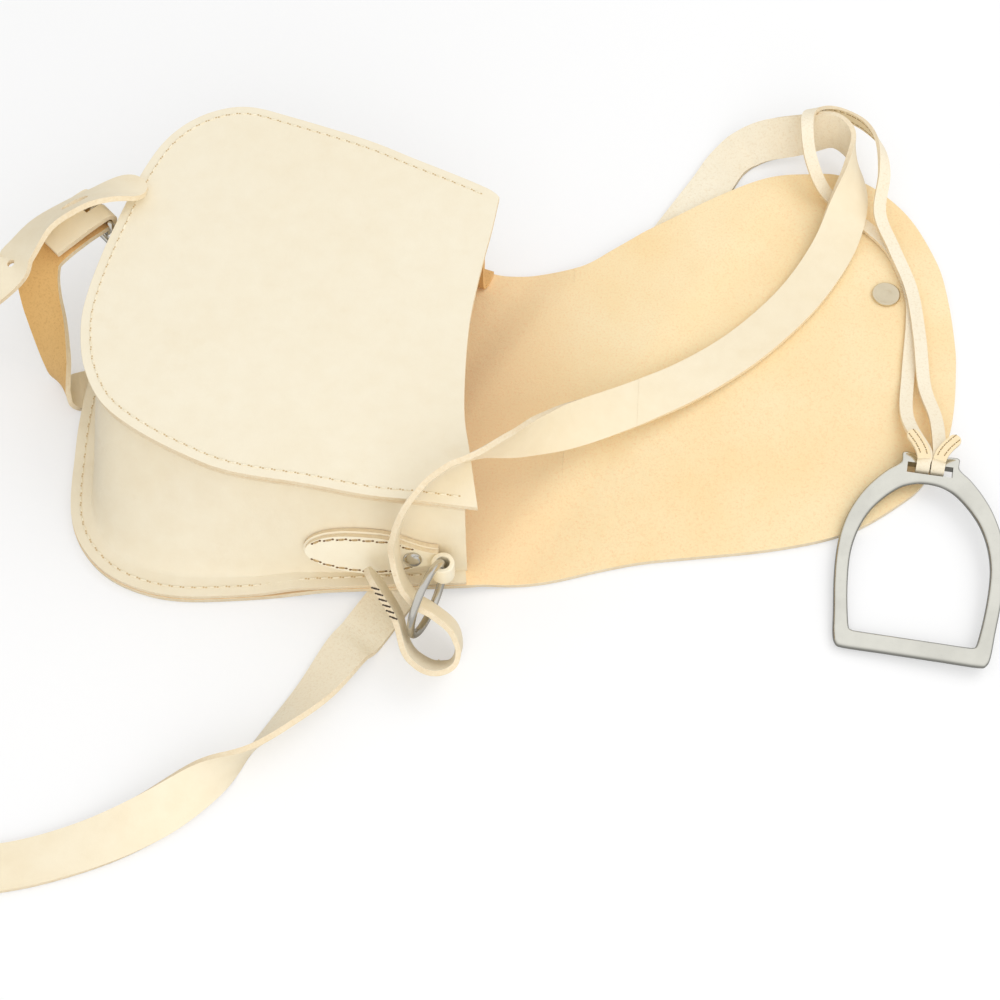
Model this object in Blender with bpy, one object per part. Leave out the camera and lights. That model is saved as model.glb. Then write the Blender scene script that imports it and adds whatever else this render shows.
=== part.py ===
"""A saddle-style shoulder bag of undyed leather, lying on its back with its flap thrown open.

Metres, +Z up. X runs from the bag's bottom to its mouth and on along the open flap, and Y runs
across the bag. The back panel rests on z = 0. Tables of places hold shares of the sizes above them.
"""
import math

import bmesh
import bpy
from mathutils import Matrix, Vector

# The bag's body
BODY_LENGTH = 0.200
BODY_WIDTH = 0.200
BODY_DEPTH = 0.060
PANEL_THICKNESS = 0.0027
GUSSET_THICKNESS = 0.0022
FLANGE_WIDTH = 0.008
FLANGE_BEND = 0.004
WALL_INSET = 0.0095
CLEARANCE = 0.0003
SHEET_CELL = 0.012
MERGE_DISTANCE = 0.00005

# The flap: a narrow bridge that stands up as the bag's mouth closes, then the flap itself.
# Its fold lines are also given as shares of length, for the tables of places.
FOLD_SHARE = 0.4925
TURN_SHARE = 0.829
FLAP_SHARE = 0.770
FOLD_X = FOLD_SHARE * BODY_LENGTH
FLAP_LENGTH = FLAP_SHARE * BODY_LENGTH
FLAP_WIDTH = BODY_WIDTH
CLOSED_GAP = 0.010
BRIDGE_LENGTH = BODY_DEPTH + CLOSED_GAP - PANEL_THICKNESS
TURN_X = FOLD_X + BRIDGE_LENGTH
NOTCH_DEPTH = 0.0045

# Straps
STRAP_WIDTH = 0.021
STRAP_THICKNESS = 0.0026
BAND_WIDTH = 0.0062
BAND_THICKNESS = 0.0018
STRAP_SLOT_LENGTH = 0.014
STRAP_SLOT_WIDTH = 0.006
STRAP_HOLE_RADIUS = 0.0018
TIP_LENGTH = 0.012
TIP_FLAT_SHARE = 0.04
STRAP_STEPS = 4

# Folds in the leather over what lies under it
LIFT_HALF_WIDTH = 0.024
LIFT_FLANK = 0.022
CAP_LIFT_RADIUS = 0.018

# Tabs, rings and rivets
TAB_LENGTH = 0.320 * BODY_LENGTH
TAB_HEIGHT = 0.0242
TAB_NECK = 0.010
TAB_THICKNESS = 0.0046
TAB_CLEARANCE = 0.0004
TAB_CENTRE_HEIGHT = 0.0232
EYE_X = 0.410 * BODY_LENGTH
EYE_BORE = 0.0030
EYE_RADIUS = 0.0052
EYE_LENGTH = 0.0112
EYE_STAND = 0.0032
TAB_SHOULDER_SHARE = 0.45
TAB_TIP_SHARE = 0.12
RING_RADIUS = 0.0168
RING_WIRE = 0.0018
NEAR_RING_YAW = math.radians(-20)
FAR_RING_YAW = math.radians(50)
RIVET_BACK_FROM_EYE = 0.0143
RIVET_CAP_RADIUS = 0.0042
RIVET_CAP_HEIGHT = 0.0024
RIVET_WALL_SHARE = 0.25
RIVET_SHANK_RADIUS = 0.0015
RIVET_BACK_HEIGHT = 0.0012

# Magnets
MAGNET_RADIUS = 0.007
MAGNET_HEIGHT = 0.0014
MAGNET_CAP_HEIGHT = 0.0010
MAGNET_SHANK_RADIUS = 0.002
PATCH_RADIUS = 0.015
PATCH_THICKNESS = 0.0014
FRONT_MAGNET_HEIGHT = 0.0020

# Stirrup
STIRRUP_WIDTH = 0.076
STIRRUP_HEIGHT = 0.104
STIRRUP_THICKNESS = 0.0046
STIRRUP_SLOT_WIDTH = 0.021
STIRRUP_SLOT_HEIGHT = 0.0055
STIRRUP_BAR = 0.006
STIRRUP_YAW = math.radians(-7)
STIRRUP_PITCH = math.radians(2.8)
STIRRUP_ROLL = math.radians(3)
STIRRUP_BEVEL = 0.0007
STIRRUP_TOP_SHARES = (1.5215, -0.1008)
BAND_APPROACH = 0.0084
BAND_BAR_CLEARANCE = 0.00045
BAND_TAB_SINK = 0.00025

# Buckle
BUCKLE_WIDTH = 0.030
BUCKLE_LENGTH = 0.019
BUCKLE_WIRE = 0.0016
BUCKLE_CORNER_RADIUS = 0.004
TONGUE_WIRE = 0.0011
TONGUE_EYE = BUCKLE_WIRE + CLEARANCE + TONGUE_WIRE
TONGUE_START = math.radians(230)
TONGUE_SWEEP = math.radians(250)
BAR_GAP = BUCKLE_WIRE + CLEARANCE + STRAP_THICKNESS / 2
BUCKLE_YAW = math.radians(46)
BUCKLE_DROP = 0.005

# Levels at which flat leather lies
FLOOR_LEVEL = STRAP_THICKNESS / 2
FLAP_LEVEL = PANEL_THICKNESS + CLEARANCE + STRAP_THICKNESS / 2
BAND_LEVEL = PANEL_THICKNESS + CLEARANCE + BAND_THICKNESS / 2
TOP_LEVEL = BODY_DEPTH + CLEARANCE + STRAP_THICKNESS / 2

# Outlines, in shares of the body's length and width
FRONT_SIDE_SHARES = [
    (0.485, -0.460), (0.350, -0.450), (0.245, -0.445), (0.105, -0.425), (-0.065, -0.405),
    (-0.180, -0.365), (-0.290, -0.310), (-0.375, -0.245), (-0.430, -0.150), (-0.455, -0.040),
    (-0.455, 0.050), (-0.440, 0.165), (-0.415, 0.290), (-0.383, 0.420), (-0.343, 0.515),
    (-0.287, 0.580), (-0.220, 0.618), (-0.150, 0.628), (-0.055, 0.605), (0.140, 0.545),
    (0.260, 0.495), (0.380, 0.445), (0.450, 0.412), (0.472, 0.392),
]
FRONT_MOUTH_SHARES = [
    (0.472, 0.392), (0.462, 0.300), (0.450, 0.215), (0.438, 0.120), (0.430, 0.025),
    (0.430, -0.095), (0.438, -0.225), (0.458, -0.325), (0.485, -0.460),
]
BACK_SIDE_SHARES = [
    (0.4925, -0.502), (0.450, -0.510), (0.300, -0.526), (0.175, -0.540), (0.065, -0.553),
    (-0.050, -0.570), (-0.180, -0.582), (-0.275, -0.570), (-0.360, -0.535), (-0.425, -0.475),
    (-0.465, -0.400), (-0.483, -0.300), (-0.490, -0.165), (-0.490, -0.050), (-0.480, 0.075),
    (-0.460, 0.200), (-0.430, 0.310), (-0.385, 0.410), (-0.315, 0.480), (-0.225, 0.515),
    (-0.125, 0.520), (0.025, 0.500), (0.200, 0.460), (0.350, 0.415), (0.450, 0.380),
    (0.4925, 0.3725),
]
# The gusset runs between these, from the near corner of the mouth round to the far one
GUSSET_END_SHARE = 0.012
GUSSET_SECTIONS = 60
# Bottom flange to top flange: share of the way from rim to front edge, inset in wall insets, the
# same inset where the leather bulges at the mouth's near corner, and height as a share of the depth
WALL_SHARES = [
    (0.06, 1.15, 0.70, 0.105), (0.35, 1.05, 0.55, 0.370), (0.65, 0.92, 0.50, 0.610),
    (0.93, 0.90, 0.70, 0.835),
]
BULGE_START_SHARE = -0.20
BULGE_RUN_SHARE = 0.55
# The bridge's edges, from the fold to the turn: share of the bridge, then of the body's width
BRIDGE_NEAR_SHARES = [(0.0, -0.502), (0.40, -0.483), (0.80, -0.440), (1.0, -0.420)]
BRIDGE_FAR_SHARES = [(0.0, 0.3725), (0.20, 0.378), (0.54, 0.405), (0.78, 0.465), (1.0, 0.525)]
# The flap's outline, from the turn's near end to its far end
FLAP_SHARES = [
    (0.0, -0.420), (0.09, -0.405), (0.35, -0.370), (0.50, -0.343), (0.61, -0.315), (0.70, -0.280),
    (0.81, -0.215), (0.88, -0.160), (0.955, -0.050), (0.985, 0.050), (0.998, 0.160),
    (1.0, 0.240), (0.985, 0.370), (0.955, 0.490), (0.875, 0.625), (0.765, 0.715), (0.665, 0.750),
    (0.575, 0.755), (0.400, 0.720), (0.245, 0.655), (0.085, 0.570), (0.0, 0.525),
]
FLAP_MAGNET_SHARES = (0.785, 0.375)

# Where the strap runs under the leather: share of length, share of width
UNDER_FLAP_SHARES = (1.050, 0.792)
UNDER_BAG_SHARES = (0.235, -0.640)
# Straight runs are laid in this many steps
UNDER_STEPS = 14
# Where the buckle strap runs under the bag
BUCKLE_IN_SHARES = (0.140, 0.515)
BUCKLE_OUT_SHARES = (-0.4525, -0.003)


def along_body(share):
    """X from a share of the body's length. Shares past the fold lines keep to the bridge and flap."""
    if share <= FOLD_SHARE:
        return share * BODY_LENGTH
    if share <= TURN_SHARE:
        return FOLD_X + (share - FOLD_SHARE) / (TURN_SHARE - FOLD_SHARE) * BRIDGE_LENGTH
    return TURN_X + (share - TURN_SHARE) / FLAP_SHARE * FLAP_LENGTH


def at(x_share, y_share, z):
    """A place from shares of length and width."""
    return Vector((along_body(x_share), y_share * BODY_WIDTH, z))


def smooth_path(points, per_span):
    """Rows of numbers along a smooth curve through the given rows, ends included."""
    rows = [points[0]] + list(points) + [points[-1]]
    path = []
    for index in range(len(points) - 1):
        before, start, end, after = rows[index:index + 4]
        for step in range(per_span):
            t = step / per_span
            path.append([
                0.5 * (2 * s + (e - b) * t + (2 * b - 5 * s + 4 * e - a) * t ** 2
                       + (3 * s - b - 3 * e + a) * t ** 3)
                for b, s, e, a in zip(before, start, end, after)
            ])
    path.append(list(points[-1]))
    return path


def even_path(path, count):
    """The same path as count + 1 evenly spaced points."""
    lengths = [0.0]
    for first, second in zip(path, path[1:]):
        lengths.append(lengths[-1] + (Vector(second) - Vector(first)).length)
    result = []
    index = 0
    for step in range(count + 1):
        target = lengths[-1] * step / count
        while index < len(path) - 2 and lengths[index + 1] < target:
            index += 1
        span = lengths[index + 1] - lengths[index]
        t = (target - lengths[index]) / span
        result.append(Vector(path[index]).lerp(Vector(path[index + 1]), t))
    return result


def make_material(name, colour, roughness, metallic):
    material = bpy.data.materials.new(name)
    material.use_nodes = True
    shader = material.node_tree.nodes["Principled BSDF"]
    shader.inputs["Base Color"].default_value = (*colour, 1.0)
    shader.inputs["Roughness"].default_value = roughness
    shader.inputs["Metallic"].default_value = metallic
    return material


def leather(name):
    return make_material(name, (0.90, 0.81, 0.63), 0.55, 0.0)


def flesh_leather(name):
    return make_material(name, (0.88, 0.68, 0.40), 0.85, 0.0)


def nickel(name):
    return make_material(name, (0.60, 0.58, 0.53), 0.20, 1.0)


def add_object(name, bm, material, smooth=True):
    """Turn a closed bmesh into a named object."""
    bmesh.ops.recalc_face_normals(bm, faces=bm.faces)
    mesh = bpy.data.meshes.new(name)
    bm.to_mesh(mesh)
    bm.free()
    if smooth:
        mesh.shade_smooth()
        mesh.set_sharp_from_angle(angle=math.radians(35))
    mesh.materials.append(material)
    obj = bpy.data.objects.new(name, mesh)
    bpy.context.scene.collection.objects.link(obj)
    return obj


def set_origin(obj, origin):
    """Put an object's origin on its joint without moving its shape."""
    obj.data.transform(Matrix.Translation(-origin))
    obj.location = origin


def cut_from(obj, bm, name):
    """Cut a closed bmesh out of an object."""
    cutter = add_object(name, bm, obj.data.materials[0], smooth=False)
    cutter.hide_render = True
    cutter.display_type = "WIRE"
    modifier = obj.modifiers.new(name, "BOOLEAN")
    modifier.object = cutter
    modifier.operation = "DIFFERENCE"


def join_to(obj, other):
    """Join another closed object to this one as one solid."""
    other.hide_render = True
    other.display_type = "WIRE"
    modifier = obj.modifiers.new(other.name, "BOOLEAN")
    modifier.object = other
    modifier.operation = "UNION"


def frame_matrix(origin, along, up):
    """A place with its X axis along one direction and its Z axis near another."""
    x_axis = along.normalized()
    y_axis = up.cross(x_axis).normalized()
    z_axis = x_axis.cross(y_axis)
    matrix = Matrix((x_axis, y_axis, z_axis)).transposed().to_4x4()
    matrix.translation = origin
    return matrix


def turned(profile, matrix, segments=24):
    """A solid turned round local Z from (radius, height) pairs that start and end on the axis."""
    bm = bmesh.new()
    rings = []
    for radius, height in profile:
        if radius == 0:
            rings.append([bm.verts.new((0, 0, height))])
        else:
            rings.append([
                bm.verts.new((radius * math.cos(a), radius * math.sin(a), height))
                for a in (2 * math.pi * k / segments for k in range(segments))
            ])
    for lower, upper in zip(rings, rings[1:]):
        for k in range(segments):
            after = (k + 1) % segments
            corners = [lower[k % len(lower)], lower[after % len(lower)],
                       upper[after % len(upper)], upper[k % len(upper)]]
            bm.faces.new(list(dict.fromkeys(corners)))
    bm.transform(matrix)
    return bm


def tube(points, radius, sides, closed):
    """A round bar along points. A closed one joins its ends."""
    bm = bmesh.new()
    count = len(points)
    rings = []
    across = None
    for index, point in enumerate(points):
        before = points[index - 1] if closed or index else point
        after = points[(index + 1) % count] if closed or index < count - 1 else point
        along = (after - before).normalized()
        if across is None:
            across = along.orthogonal().normalized()
        across = (across - along * across.dot(along)).normalized()
        other = along.cross(across)
        rings.append([
            bm.verts.new(point + (across * math.cos(a) + other * math.sin(a)) * radius)
            for a in (2 * math.pi * k / sides for k in range(sides))
        ])
    pairs = list(zip(rings, rings[1:]))
    if closed:
        pairs.append((rings[-1], rings[0]))
    else:
        bm.faces.new(rings[0])
        bm.faces.new(rings[-1])
    for first, second in pairs:
        for k in range(sides):
            after = (k + 1) % sides
            bm.faces.new((first[k], first[after], second[after], second[k]))
    return bm


def thick_grid(rows, thickness):
    """A closed skin of one thickness on both sides of a grid of places."""
    bm = bmesh.new()
    count, width = len(rows), len(rows[0])
    sides = ([], [])
    for i in range(count):
        for side in sides:
            side.append([])
        for j in range(width):
            along = rows[min(i + 1, count - 1)][j] - rows[max(i - 1, 0)][j]
            across = rows[i][min(j + 1, width - 1)] - rows[i][max(j - 1, 0)]
            normal = along.cross(across).normalized()
            for side, sign in zip(sides, (-1, 1)):
                side[i].append(bm.verts.new(rows[i][j] + normal * sign * thickness / 2))
    for side in sides:
        for i in range(count - 1):
            for j in range(width - 1):
                bm.faces.new((side[i][j], side[i + 1][j], side[i + 1][j + 1], side[i][j + 1]))
    lower, upper = sides
    for i in range(count - 1):
        for j in (0, width - 1):
            bm.faces.new((lower[i][j], lower[i + 1][j], upper[i + 1][j], upper[i][j]))
    for j in range(width - 1):
        for i in (0, count - 1):
            bm.faces.new((lower[i][j], lower[i][j + 1], upper[i][j + 1], upper[i][j]))
    return bm


def strap_sections(route, per_span, width, thickness):
    """Sections (place, width direction, heading) along a flat strap that never dips below z = 0."""
    rows = [[*place, *Vector(wide).normalized()] for place, wide in route]
    path = smooth_path(rows, per_span)
    places = [Vector(row[:3]) for row in path]
    sections = []
    for index, row in enumerate(path):
        along = (places[min(index + 1, len(places) - 1)] - places[max(index - 1, 0)]).normalized()
        wide = Vector(row[3:])
        wide = (wide - along * wide.dot(along)).normalized()
        normal = along.cross(wide)
        place = places[index].copy()
        lowest = (abs(wide.z) * width + abs(normal.z) * thickness) / 2
        place.z = max(place.z, lowest)
        sections.append((place, wide, along))
    return sections


def strap_solid(sections, width, thickness, taper_start=False, taper_end=False):
    """A flat strap through sections, its ends rounded if tapered."""
    reach = [0.0]
    for first, second in zip(sections, sections[1:]):
        reach.append(reach[-1] + (second[0] - first[0]).length)
    bm = bmesh.new()
    rings = []
    for (place, wide, along), start in zip(sections, reach):
        normal = along.cross(wide)
        half = width / 2
        for tapered, distance in ((taper_start, start), (taper_end, reach[-1] - start)):
            if tapered and distance < TIP_LENGTH:
                share = max(distance / TIP_LENGTH, TIP_FLAT_SHARE)
                half *= math.sqrt(1 - (1 - share) ** 2)
        rings.append([
            bm.verts.new(place + wide * half * a + normal * thickness / 2 * b)
            for a, b in ((-1, -1), (1, -1), (1, 1), (-1, 1))
        ])
    bm.faces.new(rings[0])
    bm.faces.new(rings[-1])
    for first, second in zip(rings, rings[1:]):
        for k in range(4):
            after = (k + 1) % 4
            bm.faces.new((first[k], first[after], second[after], second[k]))
    return bm


def after_gap(sections):
    """The same sections, the first moved on by the clearance."""
    place, wide, along = sections[0]
    return [(place + along * CLEARANCE, wide, along)] + sections[1:]


def keep_side(bm, x, sign):
    """Keep what lies on one side of the plane at x, and close the cut."""
    bmesh.ops.recalc_face_normals(bm, faces=bm.faces)
    cut = bmesh.ops.bisect_plane(
        bm, geom=bm.verts[:] + bm.edges[:] + bm.faces[:], plane_co=(x, 0, 0),
        plane_no=(sign, 0, 0), clear_inner=True)
    edges = [item for item in cut["geom_cut"] if isinstance(item, bmesh.types.BMEdge)]
    bmesh.ops.contextual_create(bm, geom=edges)


def distance_to_run(x, y, start, end):
    """Distance in plan from a place to the straight run between two places."""
    place, first, last = Vector((x, y)), start.to_2d(), end.to_2d()
    run = last - first
    t = min(max((place - first).dot(run) / run.length_squared, 0), 1)
    return (place - first - run * t).length


def eased(value):
    value = min(max(value, 0), 1)
    return value * value * (3 - 2 * value)


def flap_magnet_place():
    x_share, y_share = FLAP_MAGNET_SHARES
    return Vector((TURN_X + x_share * FLAP_LENGTH, y_share * FLAP_WIDTH, 0))


def leather_lift(x, y):
    """How far the leather is raised over the straps and the rivet cap that lie under it."""
    over = STRAP_THICKNESS + CLEARANCE
    runs = [
        (at(*UNDER_FLAP_SHARES, 0), at(*UNDER_BAG_SHARES, 0)),
        (at(*BUCKLE_IN_SHARES, 0), at(*BUCKLE_OUT_SHARES, 0)),
    ]
    heights = [
        over * eased(1 - (distance_to_run(x, y, start, end) - LIFT_HALF_WIDTH) / LIFT_FLANK)
        for start, end in runs
    ]
    from_magnet = (Vector((x, y)) - flap_magnet_place().to_2d()).length
    heights.append((MAGNET_CAP_HEIGHT + CLEARANCE)
                   * eased(1 - (from_magnet - CAP_LIFT_RADIUS) / LIFT_FLANK))
    return max(heights)


def lift_near(x, y):
    """The greatest lift within half a cell of a place, for what lies on the leather."""
    half = SHEET_CELL / 2
    return max(leather_lift(x + i * half, y + j * half) for i in (-1, 0, 1) for j in (-1, 0, 1))


def sheet(name, outline, material, lift, level=0.0):
    """A leather panel over an outline, cut into cells so that it can follow a lift."""
    bm = bmesh.new()
    bm.faces.new([bm.verts.new((x, y, level)) for x, y in outline])
    if lift is not None:
        for axis in (0, 1):
            low = min(point[axis] for point in outline)
            high = max(point[axis] for point in outline)
            for line in range(math.ceil(low / SHEET_CELL), math.floor(high / SHEET_CELL) + 1):
                place = Vector((0, 0, 0))
                place[axis] = line * SHEET_CELL
                normal = Vector((0, 0, 0))
                normal[axis] = 1
                bmesh.ops.bisect_plane(bm, geom=bm.verts[:] + bm.edges[:] + bm.faces[:],
                                       plane_co=place, plane_no=normal)
    bmesh.ops.remove_doubles(bm, verts=bm.verts, dist=MERGE_DISTANCE)
    raised = bmesh.ops.extrude_face_region(bm, geom=bm.faces[:])
    upper = [item for item in raised["geom"] if isinstance(item, bmesh.types.BMVert)]
    bmesh.ops.translate(bm, verts=upper, vec=(0, 0, PANEL_THICKNESS))
    if lift is not None:
        for vert in bm.verts:
            vert.co.z += lift(vert.co.x, vert.co.y)
    return add_object(name, bm, material)


def side_path(shares, count):
    """An even path in plan through shares of the body's size."""
    points = [(x * BODY_LENGTH, y * BODY_WIDTH) for x, y in shares]
    return even_path(smooth_path(points, 6), count)


def front_panel():
    outline = side_path(FRONT_SIDE_SHARES, 72) + side_path(FRONT_MOUTH_SHARES, 16)[1:-1]
    return sheet("front_panel", outline, leather("front_leather"), None, BODY_DEPTH - PANEL_THICKNESS)


def fold_notch(body, x):
    """Cut the room that raised leather needs to turn upward about the fold line at x."""
    low = PANEL_THICKNESS - CLEARANCE / 3
    bm = bmesh.new()
    ends = [[bm.verts.new((x + side * NOTCH_DEPTH, y, low + abs(side) * NOTCH_DEPTH))
             for side in (-1, 0, 1)] for y in (-BODY_WIDTH, BODY_WIDTH)]
    for end in ends:
        bm.faces.new(end)
    for k in range(3):
        after = (k + 1) % 3
        bm.faces.new((ends[0][k], ends[0][after], ends[1][after], ends[1][k]))
    cut_from(body, bm, body.name + "_notch_" + ("turn" if x > FOLD_X else "fold"))


def back_panel():
    rim = side_path(BACK_SIDE_SHARES, 80)
    edge_x = FOLD_X - CLEARANCE / 2
    outline = [(min(point.x, edge_x), point.y) for point in rim]
    outline[0] = (edge_x, outline[0][1])
    outline[-1] = (edge_x, outline[-1][1])
    panel = sheet("back_panel", outline, leather("back_leather"), leather_lift)
    fold_notch(panel, FOLD_X)


def flap_bridge():
    near = [(FOLD_X + CLEARANCE / 2 + x * (BRIDGE_LENGTH - CLEARANCE), y * BODY_WIDTH)
            for x, y in smooth_path(BRIDGE_NEAR_SHARES, 3)]
    far = [(FOLD_X + CLEARANCE / 2 + x * (BRIDGE_LENGTH - CLEARANCE), y * BODY_WIDTH)
           for x, y in smooth_path(BRIDGE_FAR_SHARES, 3)]
    bridge = sheet("flap_bridge", near + far[::-1], flesh_leather("bridge_leather"), leather_lift)
    fold_notch(bridge, FOLD_X)
    fold_notch(bridge, TURN_X)
    set_origin(bridge, Vector((FOLD_X, 0, PANEL_THICKNESS)))


def flap():
    points = [(x * (FLAP_LENGTH - CLEARANCE / 2), y * FLAP_WIDTH) for x, y in FLAP_SHARES]
    path = even_path(smooth_path(points, 6), 72)
    outline = [(TURN_X + CLEARANCE / 2 + max(point.x, 0), point.y) for point in path]
    body = sheet("flap", outline, flesh_leather("flap_leather"), leather_lift)
    fold_notch(body, TURN_X)
    magnet = flap_magnet_place()
    reach = PANEL_THICKNESS * 3
    cut_from(body, turned([(0, -reach), (MAGNET_SHANK_RADIUS + CLEARANCE, -reach),
                           (MAGNET_SHANK_RADIUS + CLEARANCE, reach), (0, reach)],
                          Matrix.Translation(magnet)), "flap_magnet_hole")
    set_origin(body, Vector((TURN_X, 0, PANEL_THICKNESS)))


def wall_rows():
    """The gusset's mid surface: rows round the bag, each from the bottom flange to the top one."""
    sides = []
    for shares in (BACK_SIDE_SHARES, FRONT_SIDE_SHARES):
        path = side_path(shares, GUSSET_SECTIONS * 4)
        first = round(GUSSET_END_SHARE * len(path))
        sides.append(even_path(path[first:len(path) - first], GUSSET_SECTIONS))
    rim, front = sides
    bottom = PANEL_THICKNESS + CLEARANCE + GUSSET_THICKNESS / 2
    top = BODY_DEPTH - PANEL_THICKNESS - CLEARANCE - GUSSET_THICKNESS / 2
    rows = []
    for index in range(len(rim)):
        insides = []
        for path in (rim, front):
            along = path[min(index + 1, len(path) - 1)] - path[max(index - 1, 0)]
            insides.append(Vector((along.y, -along.x)).normalized())
        low, high = rim[index], front[index]
        inside = (insides[0] + insides[1]).normalized()
        lift = lift_near(low.x, low.y)
        row = [
            (low + insides[0] * CLEARANCE).to_3d() + Vector((0, 0, bottom + lift)),
            (low + insides[0] * FLANGE_WIDTH).to_3d() + Vector((0, 0, bottom + lift)),
        ]
        bulge = eased((low.x / BODY_LENGTH - BULGE_START_SHARE) / BULGE_RUN_SHARE)
        if low.y > 0:
            bulge = 0
        for share, plain, bulged, height in WALL_SHARES:
            inset = plain + (bulged - plain) * bulge
            place = low.lerp(high, share) + inside * inset * WALL_INSET
            row.append(place.to_3d() + Vector((0, 0, height * BODY_DEPTH + lift * (1 - share))))
        row.append((high + insides[1] * (FLANGE_WIDTH - FLANGE_BEND / 2)).to_3d()
                   + Vector((0, 0, top)))
        row.append((high + insides[1] * CLEARANCE).to_3d() + Vector((0, 0, top)))
        rows.append(row)
    return rows


def gusset(rows):
    return add_object("gusset", thick_grid(rows, GUSSET_THICKNESS), leather("gusset_leather"))


def wall_place(rows, side, x, height):
    """A place on the gusset's outer face near the mouth, with its outward and upward directions."""
    ordered = rows if side < 0 else rows[::-1]
    for first, second in zip(ordered, ordered[1:]):
        if second[2].x <= x <= first[2].x:
            break
    t = (first[2].x - x) / (first[2].x - second[2].x)
    column = [a.lerp(b, t) for a, b in zip(first, second)]
    for low, high in zip(column[2:], column[3:]):
        if height <= high.z:
            break
    share = (height - low.z) / (high.z - low.z)
    place = low.lerp(high, share)
    up = (column[5] - column[2]).normalized()
    along = (first[3] - second[3]).normalized()
    outward = (along.cross(up) * side * -1).normalized()
    return place + outward * GUSSET_THICKNESS / 2, outward, up


def eye_place(rows, side):
    """The middle of the tab's eye."""
    place, _, _ = wall_place(rows, side, EYE_X, TAB_CENTRE_HEIGHT)
    return Vector((EYE_X, place.y + side * (EYE_RADIUS + EYE_STAND), TAB_CENTRE_HEIGHT))


def rod(radius, half, matrix, segments=24):
    """A closed round rod about local Z."""
    return turned([(0, -half), (radius, -half), (radius, half), (0, half)], matrix, segments)


def tab(rows, side, name):
    """A pointed tab on the gusset's outside, ending in an upright eye for the ring."""
    eye = eye_place(rows, side)
    start = EYE_X - EYE_RADIUS / 2
    length = start - (EYE_X - TAB_LENGTH)
    steps, columns = 16, 4
    grid = []
    for step in range(steps + 1):
        share = step / steps
        widening = (TAB_HEIGHT - TAB_NECK) / 2 * eased(share / TAB_SHOULDER_SHARE)
        past = max(share - TAB_SHOULDER_SHARE, 0) / (1 - TAB_SHOULDER_SHARE)
        half = (TAB_NECK / 2 + widening) * math.sqrt(max(1 - past ** 2, TAB_TIP_SHARE ** 2))
        row = []
        for column in range(columns + 1):
            rise = half * (2 * column / columns - 1)
            place, face, _ = wall_place(rows, side, start - share * length, TAB_CENTRE_HEIGHT + rise)
            row.append(place + face * (TAB_CLEARANCE + TAB_THICKNESS / 2))
        grid.append(row)
    body = add_object(name, thick_grid(grid, TAB_THICKNESS), leather(name + "_leather"))
    upright = Matrix.Translation(eye)
    barrel = add_object(name + "_eye", rod(EYE_RADIUS, EYE_LENGTH / 2, upright),
                        body.data.materials[0])
    join_to(body, barrel)
    cut_from(body, rod(EYE_BORE, EYE_LENGTH, upright), name + "_bore")
    return body


def ring_turn(side):
    """How a ring is turned about its eye from standing straight out."""
    return Matrix.Rotation(NEAR_RING_YAW if side < 0 else FAR_RING_YAW, 3, "Z")


def ring(rows, side, name):
    """A round ring through the tab's eye, standing out from the bag."""
    eye = eye_place(rows, side)
    outward = ring_turn(side) @ Vector((0, side, 0))
    centre = eye + outward * RING_RADIUS
    points = [centre + (outward * math.cos(a) + UPRIGHT * math.sin(a)) * RING_RADIUS
              for a in (2 * math.pi * k / 32 for k in range(32))]
    body = add_object(name, tube(points, RING_WIRE, 8, True), nickel(name + "_metal"))
    set_origin(body, eye)
    return body


def dome(seat, steps):
    """The rivet cap's outline above its seat, as (radius, height) pairs."""
    wall = RIVET_WALL_SHARE * RIVET_CAP_HEIGHT
    rise = RIVET_CAP_HEIGHT - wall
    angles = [math.pi / 2 * k / steps for k in range(steps)]
    curve = [(RIVET_CAP_RADIUS * math.cos(a), seat + wall + rise * math.sin(a)) for a in angles]
    return [(RIVET_CAP_RADIUS, seat)] + curve + [(0, seat + RIVET_CAP_HEIGHT)]


def rivets(rows, side, prefix, tab_body, gusset_body):
    """A domed rivet through the tab and the gusset, with its back inside the bag."""
    x = EYE_X - RIVET_BACK_FROM_EYE
    place, outward, _ = wall_place(rows, side, x, TAB_CENTRE_HEIGHT)
    matrix = Matrix.Translation(place) @ outward.to_track_quat("Z", "Y").to_matrix().to_4x4()
    seat = TAB_CLEARANCE + TAB_THICKNESS + CLEARANCE
    inner = -GUSSET_THICKNESS - CLEARANCE
    for body, name in ((tab_body, "_tab_hole"), (gusset_body, "_gusset_hole")):
        cut_from(body, rod(RIVET_SHANK_RADIUS + CLEARANCE, 2 * TAB_THICKNESS, matrix),
                 prefix + name)
    cap = [(0, inner), (RIVET_SHANK_RADIUS, inner), (RIVET_SHANK_RADIUS, seat)] + dome(seat, 4)
    add_object(prefix + "_rivet", turned(cap, matrix, 20), nickel(prefix + "_rivet_metal"))
    back = matrix @ Matrix.Translation((0, 0, inner - CLEARANCE - RIVET_BACK_HEIGHT / 2))
    add_object(prefix + "_rivet_back", rod(RIVET_CAP_RADIUS, RIVET_BACK_HEIGHT / 2, back, 20),
               nickel(prefix + "_back_metal"))


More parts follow.
